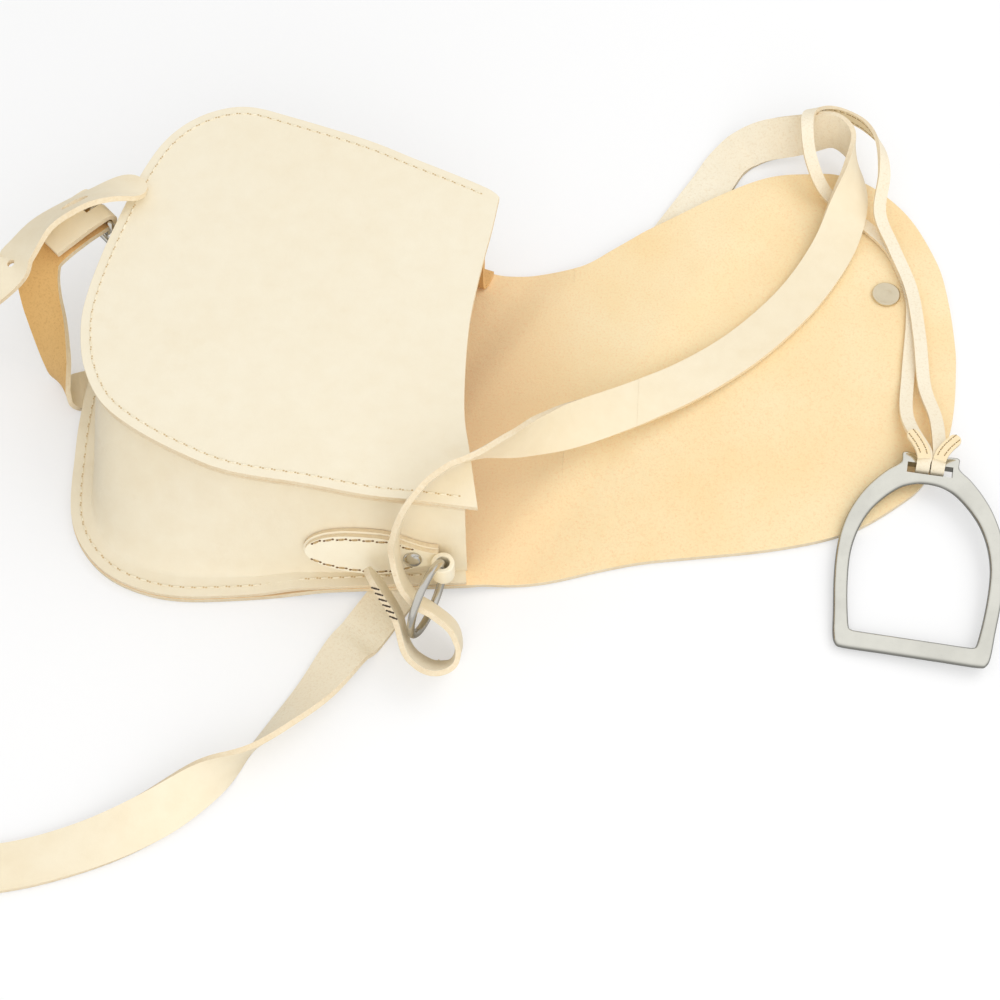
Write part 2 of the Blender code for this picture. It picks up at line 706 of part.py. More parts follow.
def magnets():
    """The disc through the flap, and the magnet that it meets behind the front panel."""
    place = flap_magnet_place()
    lift = leather_lift(place.x, place.y)
    face = lift + PANEL_THICKNESS + CLEARANCE
    under = lift - CLEARANCE
    disc = [(0, under + CLEARANCE), (MAGNET_SHANK_RADIUS, under + CLEARANCE),
            (MAGNET_SHANK_RADIUS, face), (MAGNET_RADIUS, face),
            (MAGNET_RADIUS, face + MAGNET_HEIGHT), (0, face + MAGNET_HEIGHT)]
    add_object("flap_magnet", turned(disc, Matrix.Translation(place), 32), nickel("disc_metal"))
    cap = [(0, under - MAGNET_CAP_HEIGHT), (MAGNET_RADIUS, under - MAGNET_CAP_HEIGHT),
           (MAGNET_RADIUS, under), (0, under)]
    add_object("flap_magnet_cap", turned(cap, Matrix.Translation(place), 32), nickel("cap_metal"))
    met = Matrix.Translation(Vector((FOLD_X - (place.x - TURN_X), place.y, 0)))
    ceiling = BODY_DEPTH - PANEL_THICKNESS - CLEARANCE
    magnet_floor = ceiling - FRONT_MAGNET_HEIGHT
    magnet = [(0, magnet_floor), (MAGNET_RADIUS, magnet_floor), (MAGNET_RADIUS, ceiling), (0, ceiling)]
    add_object("front_magnet", turned(magnet, met, 32), nickel("hidden_metal"))
    inner = MAGNET_RADIUS + CLEARANCE
    patch_top = magnet_floor - CLEARANCE
    patch = [(0, patch_top - PATCH_THICKNESS), (inner + PATCH_THICKNESS, patch_top - PATCH_THICKNESS),
             (PATCH_RADIUS, ceiling - PATCH_THICKNESS), (PATCH_RADIUS, ceiling), (inner, ceiling),
             (inner, patch_top), (0, patch_top)]
    add_object("magnet_patch", turned(patch, met, 32), flesh_leather("patch_leather"))


UPRIGHT = Vector((0, 0, 1))

# The strap's end round the near ring, in ring radii from the ring's eye before the ring's turn
NEAR_LOOP_SHARES = [
    (-1.759, -0.944, 0.286), (-1.166, -1.286, 0.048), (-0.58, -1.643, -0.31),
    (-0.06, -2.201, -0.667), (0.431, -2.402, -0.786), (0.905, -2.382, -0.786),
    (1.209, -2.068, -0.756), (1.182, -1.647, -0.637), (0.853, -1.299, -0.429),
    (0.227, -1.146, -0.25), (-0.247, -1.167, 0.018), (-0.669, -1.016, 0.345),
    (-0.962, -0.768, 0.881),
]
# The strap from the ring's end over the corner of the bag and down on the flap
CORNER_SHARES = [
    (0.309, -0.5225, 0.800), (0.319, -0.511, 1.005), (0.335, -0.4925, 1.145), (0.354, -0.471, 1.210),
    (0.380, -0.436, 1.222), (0.418, -0.397, 1.212), (0.465, -0.3655, 1.200),
]
LEAN = (0.0, -0.62, 0.785)
EDGE_ON = (0.04, -0.52, 0.85)
CORNER_WIDE = [LEAN, LEAN, LEAN, EDGE_ON, EDGE_ON, EDGE_ON, EDGE_ON]
DESCENT_SHARES = [
    (0.5185, -0.308, 0.995), (0.595, -0.220, 0.68), (0.660, -0.160, 0.495), (0.730, -0.100, 0.34),
    (0.830, -0.020, 0.18), (0.955, 0.075, 0.07),
]
DESCENT_WIDE = [(-0.04, -0.38, 0.90), (-0.22, -0.05, 0.95), (-0.42, 0.32, 0.82), (-0.54, 0.58, 0.58),
                (-0.60, 0.74, 0.30), (-0.64, 0.76, 0.10)]
OVER_FLAP_SHARES = [
    (1.085, 0.190, 0.02), (1.210, 0.335, 0.02), (1.295, 0.480, 0.04), (1.335, 0.600, 0.10),
]
OVER_FLAP_WIDE = [(-0.68, 0.73, 0.0), (-0.76, 0.64, 0.0), (-0.86, 0.48, 0.10), (-0.90, 0.22, 0.38)]
HAIRPIN_SHARES = [
    (1.352, 0.700, 0.20), (1.345, 0.785, 0.24), (1.300, 0.835, 0.24), (1.225, 0.838, 0.15),
    (1.120, 0.830, 0.050),
]
HAIRPIN_WIDE = [(-0.55, 0.02, 0.85), (-0.10, 0.05, 0.99), (0.0, 0.15, 0.99), (-0.15, 0.45, 0.85),
                (-0.35, 0.80, 0.45)]
OUTSIDE_SHARES = [
    (0.205, -0.685, 0.020), (0.155, -0.785, 0.078), (0.100, -0.865, 0.110), (0.030, -0.950, 0.150),
    (-0.065, -1.030, 0.110), (-0.170, -1.110, 0.050), (-0.305, -1.180, 0.010), (-0.470, -1.235, 0.0),
    (-0.660, -1.255, 0.0), (-0.850, -1.205, 0.0), (-1.010, -1.090, 0.01), (-1.110, -0.920, 0.06),
    (-1.140, -0.700, 0.17), (-1.100, -0.480, 0.34), (-1.000, -0.270, 0.54), (-0.850, -0.085, 0.76),
    (-0.665, 0.085, 0.95),
]
OUTSIDE_WIDE = [
    (-0.83, 0.50, -0.20), (-0.72, 0.48, -0.50), (-0.52, 0.42, -0.75), (-0.22, 0.22, -0.95),
    (0.35, -0.45, -0.80), (0.50, -0.75, -0.42), (0.38, -0.92, -0.10), (0.15, -0.99, 0.0),
    (-0.08, -0.99, 0.0), (-0.40, -0.92, 0.0), (-0.72, -0.68, 0.05), (-0.95, -0.30, 0.10),
    (-0.98, 0.05, 0.20), (-0.93, 0.30, 0.20), (-0.85, 0.50, 0.18), (-0.72, 0.68, 0.12),
    (-0.66, 0.74, 0.05),
]
HOLED_END_SHARES = [
    (-0.63, 0.1375, 0.0133), (-0.5875, 0.2115, 0.06), (-0.515, 0.2685, 0.105),
    (-0.46, 0.3035, 0.1), (-0.41, 0.335, 0.0567), (-0.3675, 0.359, 0.02),
]
HOLED_END_WIDE = [
    (-0.62, 0.72, -0.3), (-0.62, 0.56, -0.55), (-0.48, 0.64, -0.6), (-0.45, 0.72, -0.53),
    (-0.45, 0.83, -0.32), (-0.42, 0.9, -0.1),
]
HOLE_SHARES = (-0.645, 0.112)
# The short strap's end round the far ring, likewise, then its way down to the floor
FAR_LOOP_SHARES = [
    (-0.45, 1.371, 0.12), (-0.203, 1.4, 0.06), (0.12, 1.48, 0.0), (0.45, 1.88, -0.08),
    (0.32, 2.28, -0.22), (0.08, 2.63, -0.36),
]
DROP_SHARES = [
    (0.2125, 0.548, 0.1917), (0.1775, 0.539, 0.0983),
]
DROP_WIDE = [(0.12, -0.45, 0.88), (0.38, -0.80, 0.46)]
# The short strap's way up from the floor to the buckle
RISE_SHARES = [
    (-0.4865, -0.028, 0.0), (-0.513, -0.0385, 0.0), (-0.532, -0.043, 0.0283),
    (-0.546, -0.039, 0.0883), (-0.555, -0.024, 0.16), (-0.562, 0.0015, 0.2417),
    (-0.5725, 0.034, 0.3367), (-0.585, 0.071, 0.4483), (-0.599, 0.109, 0.57),
    (-0.606, 0.1475, 0.6917), (-0.596, 0.184, 0.7917), (-0.5625, 0.215, 0.8483),
]
RISE_WIDE = [
    (0.5, -0.87, 0.0), (0.38, -0.92, 0.0), (0.4, -0.89, 0.14), (0.5, -0.76, 0.4),
    (0.62, -0.54, 0.56), (0.71, -0.3, 0.62), (0.78, -0.12, 0.6), (0.84, 0.0, 0.5),
    (0.9, 0.04, 0.4), (0.95, 0.0, 0.25), (0.9, -0.3, 0.08), (0.8, -0.6, 0.0),
]
BUCKLE_SHARES = (-0.485, 0.305)
# Its fold round the buckle's bar, in steps of the bar's gap: towards the tip, up
FOLD_STEPS = [(-4.0, -1.05), (-1.5, -1.05), (0.0, -1.05), (0.74, -0.74), (1.05, 0.0), (0.74, 0.74),
              (0.0, 1.05), (-3.0, 0.95), (-6.0, 0.60), (-9.2, 0.25)]


def route(shares, wides, level):
    """Places and width directions from shares of length, width and depth above a level."""
    return [(at(x, y, level + z * BODY_DEPTH), Vector(wide))
            for (x, y, z), wide in zip(shares, wides)]


def route_on_flap(shares, wides, level):
    """A route whose level follows the flap's folds."""
    return [(place + UPRIGHT * lift_near(place.x, place.y), wide)
            for place, wide in route(shares, wides, level)]


def under_run(start_shares, end_shares, steps, grain_up):
    """A straight run on the floor between two places."""
    start, end = at(*start_shares, FLOOR_LEVEL), at(*end_shares, FLOOR_LEVEL)
    along = (end - start).normalized()
    wide = UPRIGHT.cross(along) * (1 if grain_up else -1)
    return [(start.lerp(end, step / steps), wide) for step in range(steps + 1)]


def near_loop(rows):
    """The long strap's end, round the near ring."""
    eye, turn = eye_place(rows, -1), ring_turn(-1)
    return [(eye + turn @ Vector(place) * RING_RADIUS, Vector(LEAN)) for place in NEAR_LOOP_SHARES]


def far_loop(rows):
    """The short strap's end, standing upright round the far ring."""
    eye, turn = eye_place(rows, 1), ring_turn(1)
    return [(eye + turn @ Vector(place) * RING_RADIUS, UPRIGHT) for place in FAR_LOOP_SHARES]


def long_strap_parts(rows):
    """The long strap's route in parts, from its end at the near ring to its holed end."""
    return [
        near_loop(rows),
        route(CORNER_SHARES, CORNER_WIDE, 0),
        route(DESCENT_SHARES, DESCENT_WIDE, FLAP_LEVEL),
        route_on_flap(OVER_FLAP_SHARES, OVER_FLAP_WIDE, FLAP_LEVEL),
        route(HAIRPIN_SHARES, HAIRPIN_WIDE, FLAP_LEVEL),
        under_run(UNDER_FLAP_SHARES, UNDER_BAG_SHARES, UNDER_STEPS, False),
        route(OUTSIDE_SHARES, OUTSIDE_WIDE, FLOOR_LEVEL),
        route(HOLED_END_SHARES, HOLED_END_WIDE, TOP_LEVEL),
    ]


def long_strap_sections(rows):
    """The long strap's sections, and the number of the first one in each part of its route."""
    parts = long_strap_parts(rows)
    whole = [pair for part in parts for pair in part]
    first = [sum(len(part) for part in parts[:index]) * STRAP_STEPS for index in range(len(parts))]
    return strap_sections(whole, STRAP_STEPS, STRAP_WIDTH, STRAP_THICKNESS), first


def shoulder_strap(rows):
    """The long strap, parted where it crosses the lines on which the flap turns."""
    sections, first = long_strap_sections(rows)
    ring_last = first[1] - STRAP_STEPS
    half_gap = CLEARANCE / 2
    size = (STRAP_WIDTH, STRAP_THICKNESS)

    bm = strap_solid(sections[:ring_last + 1], *size, taper_start=True)
    ring_end = add_object("strap_ring_end", bm, leather("ring_end_leather"))
    set_origin(ring_end, eye_place(rows, -1))

    bm = strap_solid(after_gap(sections[ring_last:first[3] + STRAP_STEPS]), *size)
    keep_side(bm, TURN_X - half_gap, -1)
    add_object("strap_over_corner", bm, leather("corner_leather"))

    bm = strap_solid(sections[first[2]:first[6]], *size)
    keep_side(bm, TURN_X + half_gap, 1)
    over_flap = add_object("strap_over_flap", bm, leather("over_flap_leather"))
    set_origin(over_flap, Vector((TURN_X, 0, PANEL_THICKNESS)))

    bm = strap_solid(sections[first[5]:first[6]], *size)
    keep_side(bm, TURN_X - half_gap, -1)
    keep_side(bm, FOLD_X + half_gap, 1)
    under_bridge = add_object("strap_under_bridge", bm, leather("under_bridge_leather"))
    set_origin(under_bridge, Vector((FOLD_X, 0, PANEL_THICKNESS)))

    bm = strap_solid(sections[first[5]:], *size, taper_end=True)
    keep_side(bm, FOLD_X - half_gap, -1)
    strap = add_object("shoulder_strap", bm, leather("strap_leather"))
    reach = 4 * STRAP_THICKNESS
    cut_from(strap, rod(STRAP_SLOT_WIDTH / 2, reach, slot_matrix(), 16), "strap_slot")
    hole = Matrix.Translation(at(*HOLE_SHARES, TOP_LEVEL))
    cut_from(strap, rod(STRAP_HOLE_RADIUS, reach, hole, 12), "strap_hole")


def slot_matrix():
    """The long slot through the strap's holed end, as a stretched round one."""
    (start, _), (place, wide), (end, _) = route(HOLED_END_SHARES, HOLED_END_WIDE, TOP_LEVEL)[1:4]
    along = end - start
    stretch = Matrix.Diagonal((STRAP_SLOT_LENGTH / STRAP_SLOT_WIDTH, 1, 1, 1))
    return frame_matrix(place, along, along.cross(wide)) @ stretch


def buckle_matrix():
    """The buckle's heel bar: its origin on the bar, X towards the strap's tip, Y along the bar."""
    place = at(*BUCKLE_SHARES, BODY_DEPTH - BUCKLE_DROP)
    along = Vector((math.cos(BUCKLE_YAW), math.sin(BUCKLE_YAW), 0))
    return frame_matrix(place, along, UPRIGHT)


def buckle_frame_points(matrix, steps):
    """The frame's bar, hanging from its heel at the matrix's origin, each corner in steps."""
    radius = BUCKLE_CORNER_RADIUS
    low = BUCKLE_WIRE + radius - BUCKLE_WIDTH / 2
    corners = [(radius, -low, 90), (radius, low, 180), (BUCKLE_LENGTH - radius, low, 270),
               (BUCKLE_LENGTH - radius, -low, 360)]
    points = []
    for drop, y, start in corners:
        for step in range(steps + 1):
            angle = math.radians(start + 90 * step / steps)
            points.append(matrix @ Vector((0, y + radius * math.sin(angle),
                                           -drop - radius * math.cos(angle))))
    return points


def tongue_points(matrix, steps):
    """The tongue: a curl round the heel bar, then straight down past the frame's foot."""
    angles = [TONGUE_START - TONGUE_SWEEP * k / steps for k in range(steps + 1)]
    places = [(TONGUE_EYE * math.cos(a), TONGUE_EYE * math.sin(a)) for a in angles]
    places += [(TONGUE_EYE, -TONGUE_EYE), (TONGUE_EYE, -BUCKLE_LENGTH / 2),
               (TONGUE_EYE, -BUCKLE_LENGTH - BUCKLE_WIRE)]
    return [matrix @ Vector((x, 0, z)) for x, z in places]


def buckle(matrix):
    """A bar buckle that hangs from its strap's fold, with its tongue beside it."""
    bar = tube(buckle_frame_points(matrix, 4), BUCKLE_WIRE, 8, True)
    set_origin(add_object("buckle_frame", bar, nickel("buckle_metal")), matrix.translation)
    bar = tube(tongue_points(matrix, 8), TONGUE_WIRE, 8, False)
    set_origin(add_object("buckle_tongue", bar, nickel("tongue_metal")), matrix.translation)


def short_strap_sections(rows, matrix):
    """The short strap's sections from the far ring to the buckle, and the last one at the ring."""
    across_bar = matrix.to_3x3() @ Vector((0, -1, 0))
    fold = [(matrix @ Vector((x * BAR_GAP, 0, z * BAR_GAP)), across_bar) for x, z in FOLD_STEPS]
    loop = far_loop(rows)
    whole = (loop + route(DROP_SHARES, DROP_WIDE, FLOOR_LEVEL)
             + under_run(BUCKLE_IN_SHARES, BUCKLE_OUT_SHARES, UNDER_STEPS, True)
             + route(RISE_SHARES, RISE_WIDE, FLOOR_LEVEL) + fold)
    last = (len(loop) - 1) * STRAP_STEPS
    return strap_sections(whole, STRAP_STEPS, STRAP_WIDTH, STRAP_THICKNESS), last


def tongue_slot(matrix):
    """The room that the tongue takes in the strap's fold."""
    slot = bmesh.new()
    size = Matrix.Diagonal((2 * (BAR_GAP + STRAP_THICKNESS), 2 * TONGUE_WIRE + 4 * CLEARANCE,
                            BUCKLE_LENGTH, 1))
    bmesh.ops.create_cube(slot, size=1.0, matrix=matrix @ size)
    return slot


def buckle_strap(rows, matrix):
    """The short strap from the far ring, under the bag and up to the buckle's heel bar."""
    sections, last = short_strap_sections(rows, matrix)
    size = (STRAP_WIDTH, STRAP_THICKNESS)
    bm = strap_solid(sections[:last + 1], *size, taper_start=True)
    ring_end = add_object("buckle_strap_end", bm, leather("buckle_end_leather"))
    set_origin(ring_end, eye_place(rows, 1))
    bm = strap_solid(after_gap(sections[last:]), *size)
    body = add_object("buckle_strap", bm, leather("buckle_strap_leather"))
    cut_from(body, tongue_slot(matrix), "tongue_slot")


# The stirrup's right half from top to foot, in shares of its width and height: outside, inside
STIRRUP_PAIR_SHARES = [
    ((0.0, 1.0), (0.0, 0.851)), ((0.092, 1.0), (0.053, 0.848)), ((0.171, 1.0), (0.105, 0.837)),
    ((0.178, 0.947), (0.158, 0.817)), ((0.250, 0.899), (0.211, 0.784)),
    ((0.329, 0.832), (0.270, 0.736)), ((0.401, 0.750), (0.329, 0.673)),
    ((0.461, 0.644), (0.379, 0.587)), ((0.493, 0.529), (0.408, 0.490)),
    ((0.500, 0.413), (0.414, 0.394)), ((0.491, 0.288), (0.405, 0.279)),
    ((0.474, 0.163), (0.388, 0.173)), ((0.461, 0.058), (0.371, 0.101)),
    ((0.441, 0.014), (0.355, 0.088)), ((0.395, 0.0), (0.316, 0.085)),
    ((0.197, 0.0), (0.158, 0.085)), ((0.0, 0.0), (0.0, 0.085)),
]


def stirrup_matrix():
    """The stirrup's plane: origin at the foot's middle, X across it, Y from foot to slot."""
    turn = (Matrix.Rotation(STIRRUP_YAW, 4, "Z") @ Matrix.Rotation(STIRRUP_PITCH, 4, "X")
            @ Matrix.Rotation(-STIRRUP_ROLL, 4, "Y"))
    foot = at(*STIRRUP_TOP_SHARES, 0) - turn @ Vector((0, STIRRUP_HEIGHT, 0))
    lowest = min((turn @ Vector((-x * STIRRUP_WIDTH, y * STIRRUP_HEIGHT, 0))).z
                 for (x, y), _ in STIRRUP_PAIR_SHARES)
    foot.z = CLEARANCE - lowest
    return Matrix.Translation(foot) @ turn


def stirrup_plate(matrix, half):
    """The stirrup as a closed plate from its right half's rows of outside and inside places."""
    whole = half + [(-a, b, -c, d) for a, b, c, d in half[-2:0:-1]]
    bm = bmesh.new()
    loops = [[bm.verts.new((row[first] * STIRRUP_WIDTH, row[first + 1] * STIRRUP_HEIGHT, height))
              for row in whole] for height in (0, STIRRUP_THICKNESS) for first in (0, 2)]
    low_out, low_in, high_out, high_in = loops
    count = len(low_out)
    for k in range(count):
        n = (k + 1) % count
        bm.faces.new((low_out[k], low_out[n], low_in[n], low_in[k]))
        bm.faces.new((high_out[k], high_in[k], high_in[n], high_out[n]))
        bm.faces.new((low_out[k], high_out[k], high_out[n], low_out[n]))
        bm.faces.new((low_in[k], low_in[n], high_in[n], high_in[k]))
    bm.transform(matrix)
    return bm


def stirrup_slot(matrix):
    """The slot for the stirrup's leather."""
    middle = STIRRUP_HEIGHT - STIRRUP_BAR - STIRRUP_SLOT_HEIGHT / 2
    place = Matrix.Translation((0, middle, STIRRUP_THICKNESS / 2))
    size = Matrix.Diagonal((STIRRUP_SLOT_WIDTH, STIRRUP_SLOT_HEIGHT, 3 * STIRRUP_THICKNESS, 1))
    slot = bmesh.new()
    bmesh.ops.create_cube(slot, size=1.0, matrix=matrix @ place @ size)
    return slot


def stirrup(matrix):
    """A flat stirrup with a slot for its leather above the arch."""
    half = [(*outside, *inside) for outside, inside in STIRRUP_PAIR_SHARES]
    body = add_object("stirrup", stirrup_plate(matrix, half), nickel("stirrup_metal"))
    cut_from(body, stirrup_slot(matrix), "stirrup_slot")
    bevel = body.modifiers.new("bevel", "BEVEL")
    bevel.width = STIRRUP_BEVEL
    bevel.segments = 1
    bevel.limit_method = "ANGLE"
    bevel.angle_limit = math.radians(40)
    bar = Vector((0, STIRRUP_HEIGHT - STIRRUP_BAR / 2, STIRRUP_THICKNESS / 2))
    set_origin(body, matrix @ bar)


# The stirrup's band from the slot's left side up the flap, round the strap and back
LEFT_BAND_SHARES = [(1.470, 0.010, 0.055), (1.480, 0.145, 0.002), (1.494, 0.295, 0.002),
                    (1.492, 0.380, 0.002), (1.455, 0.500, 0.002), (1.400, 0.575, 0.004),
                    (1.340, 0.628, 0.008)]
LEFT_BAND_WIDE = [(1.0, -0.08, 0.0), (1.0, -0.05, 0.0), (1.0, 0.0, 0.0), (0.98, 0.12, 0.0),
                  (0.92, 0.40, 0.0), (0.78, 0.62, 0.0), (0.66, 0.75, 0.0)]
KEEPER_SHARES = [(1.280, 0.675, 0.10), (1.240, 0.730, 0.28), (1.225, 0.790, 0.43),
                 (1.235, 0.850, 0.40), (1.280, 0.905, 0.24), (1.335, 0.905, 0.18),
                 (1.385, 0.860, 0.22), (1.415, 0.785, 0.29), (1.425, 0.695, 0.27)]
KEEPER_WIDE = [(0.85, 0.50, 0.10), (0.95, 0.30, 0.0), (0.98, 0.15, 0.0), (0.95, -0.05, 0.25),
               (0.55, -0.20, 0.80), (0.10, 0.10, 0.98), (-0.20, 0.25, 0.95), (-0.60, 0.10, 0.78),
               (-0.92, 0.05, 0.35)]
RIGHT_BAND_SHARES = [(1.418, 0.600, 0.13), (1.455, 0.500, 0.050), (1.493, 0.380, 0.042),
                     (1.508, 0.240, 0.042), (1.515, 0.100, 0.050), (1.537, 0.000, 0.080)]
RIGHT_BAND_WIDE = [(-0.96, -0.15, 0.05), (-0.94, -0.25, 0.0), (-1.0, -0.05, 0.0), (-1.0, -0.06, 0.0),
                   (-1.0, -0.08, 0.0), (-1.0, -0.06, 0.0)]


# The band's turn through the slot: share of the slot's height below the bar, and side of the plate
SLOT_TURN_SHARES = [(0.0, -1.0), (0.42, -0.62), (0.55, 0.0), (0.42, 0.62), (0.0, 1.0)]


# Each end's tab from the slot outwards, in shares of the stirrup's width and height
BAND_TAB_SHARES = [(0.045, -0.050), (0.060, -0.010), (0.095, 0.035), (0.150, 0.085)]


def band_tab_sections(matrix, sign):
    """The sections of one end's tab, which lies on the band and points up and outwards."""
    level = STIRRUP_THICKNESS + BAND_BAR_CLEARANCE + 1.5 * BAND_THICKNESS - BAND_TAB_SINK
    places = [matrix @ Vector((sign * x * STIRRUP_WIDTH, (1 + y) * STIRRUP_HEIGHT, level))
              for x, y in BAND_TAB_SHARES]
    up = matrix.to_3x3() @ UPRIGHT
    tab_route = [(place, up.cross(after - before))
                 for before, place, after in zip(places[:1] + places, places, places[1:] + places[-1:])]
    return strap_sections(tab_route, STRAP_STEPS, BAND_WIDTH, BAND_THICKNESS)


def band_route(matrix):
    """The band's route, from its end on one side of the slot to its end on the other."""
    middle = STIRRUP_THICKNESS / 2
    over = middle + BAND_BAR_CLEARANCE + BAND_THICKNESS / 2
    bar_low = STIRRUP_HEIGHT - STIRRUP_BAR
    turn = [(STIRRUP_HEIGHT + BAND_APPROACH, -1.0), (STIRRUP_HEIGHT, -1.0)]
    turn += [(bar_low - STIRRUP_SLOT_HEIGHT * below, side) for below, side in SLOT_TURN_SHARES]
    turn.append((STIRRUP_HEIGHT, 1.0))
    wide = matrix.to_3x3() @ Vector((1, 0, 0))
    aside = BAND_WIDTH / 2 + CLEARANCE
    ends = {}
    for sign in (-1, 1):
        ends[sign] = [(matrix @ Vector((sign * aside, y, middle + z * over)), wide * -sign)
                      for y, z in turn]
    left = route_on_flap(LEFT_BAND_SHARES, LEFT_BAND_WIDE, BAND_LEVEL)
    keeper = route(KEEPER_SHARES, KEEPER_WIDE, BAND_LEVEL)
    right = route_on_flap(RIGHT_BAND_SHARES, RIGHT_BAND_WIDE, BAND_LEVEL)
    return ends[-1] + left + keeper + right + ends[1][::-1]


def stirrup_leather(matrix):
    """A narrow band, each end folded through the stirrup's slot, looped round the strap."""
    sections = strap_sections(band_route(matrix), STRAP_STEPS, BAND_WIDTH, BAND_THICKNESS)
    bm = strap_solid(sections, BAND_WIDTH, BAND_THICKNESS)
    body = add_object("stirrup_leather", bm, leather("band_leather"))
    for sign in (-1, 1):
        tab_body = strap_solid(band_tab_sections(matrix, sign), BAND_WIDTH, BAND_THICKNESS)
        join_to(body, add_object("band_tab", tab_body, leather("band_tab_leather")))
    set_origin(body, Vector((TURN_X, 0, PANEL_THICKNESS)))


def build():
    for obj in list(bpy.data.objects):
        bpy.data.objects.remove(obj)
    rows = wall_rows()
    back_panel()
    front_panel()
    gusset_body = gusset(rows)
    flap_bridge()
    flap()
    for side, prefix in ((-1, "near"), (1, "far")):
        tab_body = tab(rows, side, prefix + "_tab")
        ring(rows, side, prefix + "_ring")
        rivets(rows, side, prefix, tab_body, gusset_body)
    magnets()
    shoulder_strap(rows)
    buckle(buckle_matrix())
    buckle_strap(rows, buckle_matrix())
    stirrup(stirrup_matrix())
    stirrup_leather(stirrup_matrix())


build()
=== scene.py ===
"""An undyed leather shoulder bag, lying on its back with its flap open, dressed for rendering.

The row frame in metres, +Z up: X runs from the bag's bottom to its mouth and along the open flap.
"""
import math

import bmesh
import bpy
from mathutils import Matrix, Vector

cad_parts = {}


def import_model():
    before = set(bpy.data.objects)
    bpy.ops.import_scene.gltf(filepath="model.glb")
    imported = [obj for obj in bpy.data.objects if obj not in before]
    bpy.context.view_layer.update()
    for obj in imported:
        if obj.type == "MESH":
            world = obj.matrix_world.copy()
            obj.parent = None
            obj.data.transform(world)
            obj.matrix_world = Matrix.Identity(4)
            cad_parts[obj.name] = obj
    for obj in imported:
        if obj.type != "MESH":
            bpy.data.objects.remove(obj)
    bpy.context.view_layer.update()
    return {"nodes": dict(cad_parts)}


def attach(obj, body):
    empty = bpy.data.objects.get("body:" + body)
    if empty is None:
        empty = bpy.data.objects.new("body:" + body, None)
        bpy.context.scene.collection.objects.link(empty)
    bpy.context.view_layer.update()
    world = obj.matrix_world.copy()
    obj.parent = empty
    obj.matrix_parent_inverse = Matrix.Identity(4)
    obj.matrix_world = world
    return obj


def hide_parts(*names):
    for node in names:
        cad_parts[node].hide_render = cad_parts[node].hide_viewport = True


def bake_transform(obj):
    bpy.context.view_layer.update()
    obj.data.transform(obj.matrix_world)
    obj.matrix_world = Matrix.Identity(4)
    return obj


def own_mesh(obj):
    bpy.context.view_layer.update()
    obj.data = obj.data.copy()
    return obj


# The bag's body
BODY_LENGTH = 0.200
BODY_WIDTH = 0.200
BODY_DEPTH = 0.060
PANEL_THICKNESS = 0.0027
GUSSET_THICKNESS = 0.0022
FLANGE_WIDTH = 0.008
FLANGE_BEND = 0.004
WALL_INSET = 0.0095
CLEARANCE = 0.0003
SHEET_CELL = 0.012
UPRIGHT = Vector((0, 0, 1))

# The flap: a narrow bridge that stands up as the bag's mouth closes, then the flap itself.
# Its fold lines are also given as shares of length, for the tables of places.
FOLD_SHARE = 0.4925
TURN_SHARE = 0.829
FLAP_SHARE = 0.770
FOLD_X = FOLD_SHARE * BODY_LENGTH
FLAP_LENGTH = FLAP_SHARE * BODY_LENGTH
FLAP_WIDTH = BODY_WIDTH
CLOSED_GAP = 0.010
BRIDGE_LENGTH = BODY_DEPTH + CLOSED_GAP - PANEL_THICKNESS
TURN_X = FOLD_X + BRIDGE_LENGTH

# Straps
STRAP_WIDTH = 0.021
STRAP_THICKNESS = 0.0026
STRAP_SIZE = (STRAP_WIDTH, STRAP_THICKNESS)
BAND_WIDTH = 0.0062
BAND_THICKNESS = 0.0018
STRAP_SLOT_LENGTH = 0.014
STRAP_SLOT_WIDTH = 0.006
STRAP_HOLE_RADIUS = 0.0018
TIP_LENGTH = 0.012
STRAP_STEPS = 8

# Folds in the leather over what lies under it
LIFT_HALF_WIDTH = 0.024
LIFT_FLANK = 0.022
CAP_LIFT_RADIUS = 0.018

# Tabs, rings and rivets
TAB_LENGTH = 0.320 * BODY_LENGTH
TAB_HEIGHT = 0.0242
TAB_NECK = 0.010
TAB_THICKNESS = 0.0046
TAB_CLEARANCE = 0.0004
TAB_CENTRE_HEIGHT = 0.0232
EYE_X = 0.410 * BODY_LENGTH
EYE_BORE = 0.0030
EYE_RADIUS = 0.0052
EYE_LENGTH = 0.0112
EYE_STAND = 0.0032
TAB_SHOULDER_SHARE = 0.45
TAB_TIP_SHARE = 0.12
RING_RADIUS = 0.0168
RING_WIRE = 0.0018
NEAR_RING_YAW = math.radians(-20)
FAR_RING_YAW = math.radians(50)
RIVET_BACK_FROM_EYE = 0.0143
RIVET_CAP_RADIUS = 0.0042
RIVET_CAP_HEIGHT = 0.0024
RIVET_WALL_SHARE = 0.25

# Magnets
MAGNET_RADIUS = 0.007
MAGNET_HEIGHT = 0.0014
MAGNET_CAP_HEIGHT = 0.0010

# Stirrup
STIRRUP_WIDTH = 0.076
STIRRUP_HEIGHT = 0.104
STIRRUP_THICKNESS = 0.0046
STIRRUP_SLOT_WIDTH = 0.021
STIRRUP_SLOT_HEIGHT = 0.0055
STIRRUP_BAR = 0.006
STIRRUP_YAW = math.radians(-7)
STIRRUP_PITCH = math.radians(2.8)
STIRRUP_ROLL = math.radians(3)
STIRRUP_TOP_SHARES = (1.5215, -0.1008)
BAND_APPROACH = 0.0084
BAND_BAR_CLEARANCE = 0.00045
BAND_TAB_SINK = 0.00025

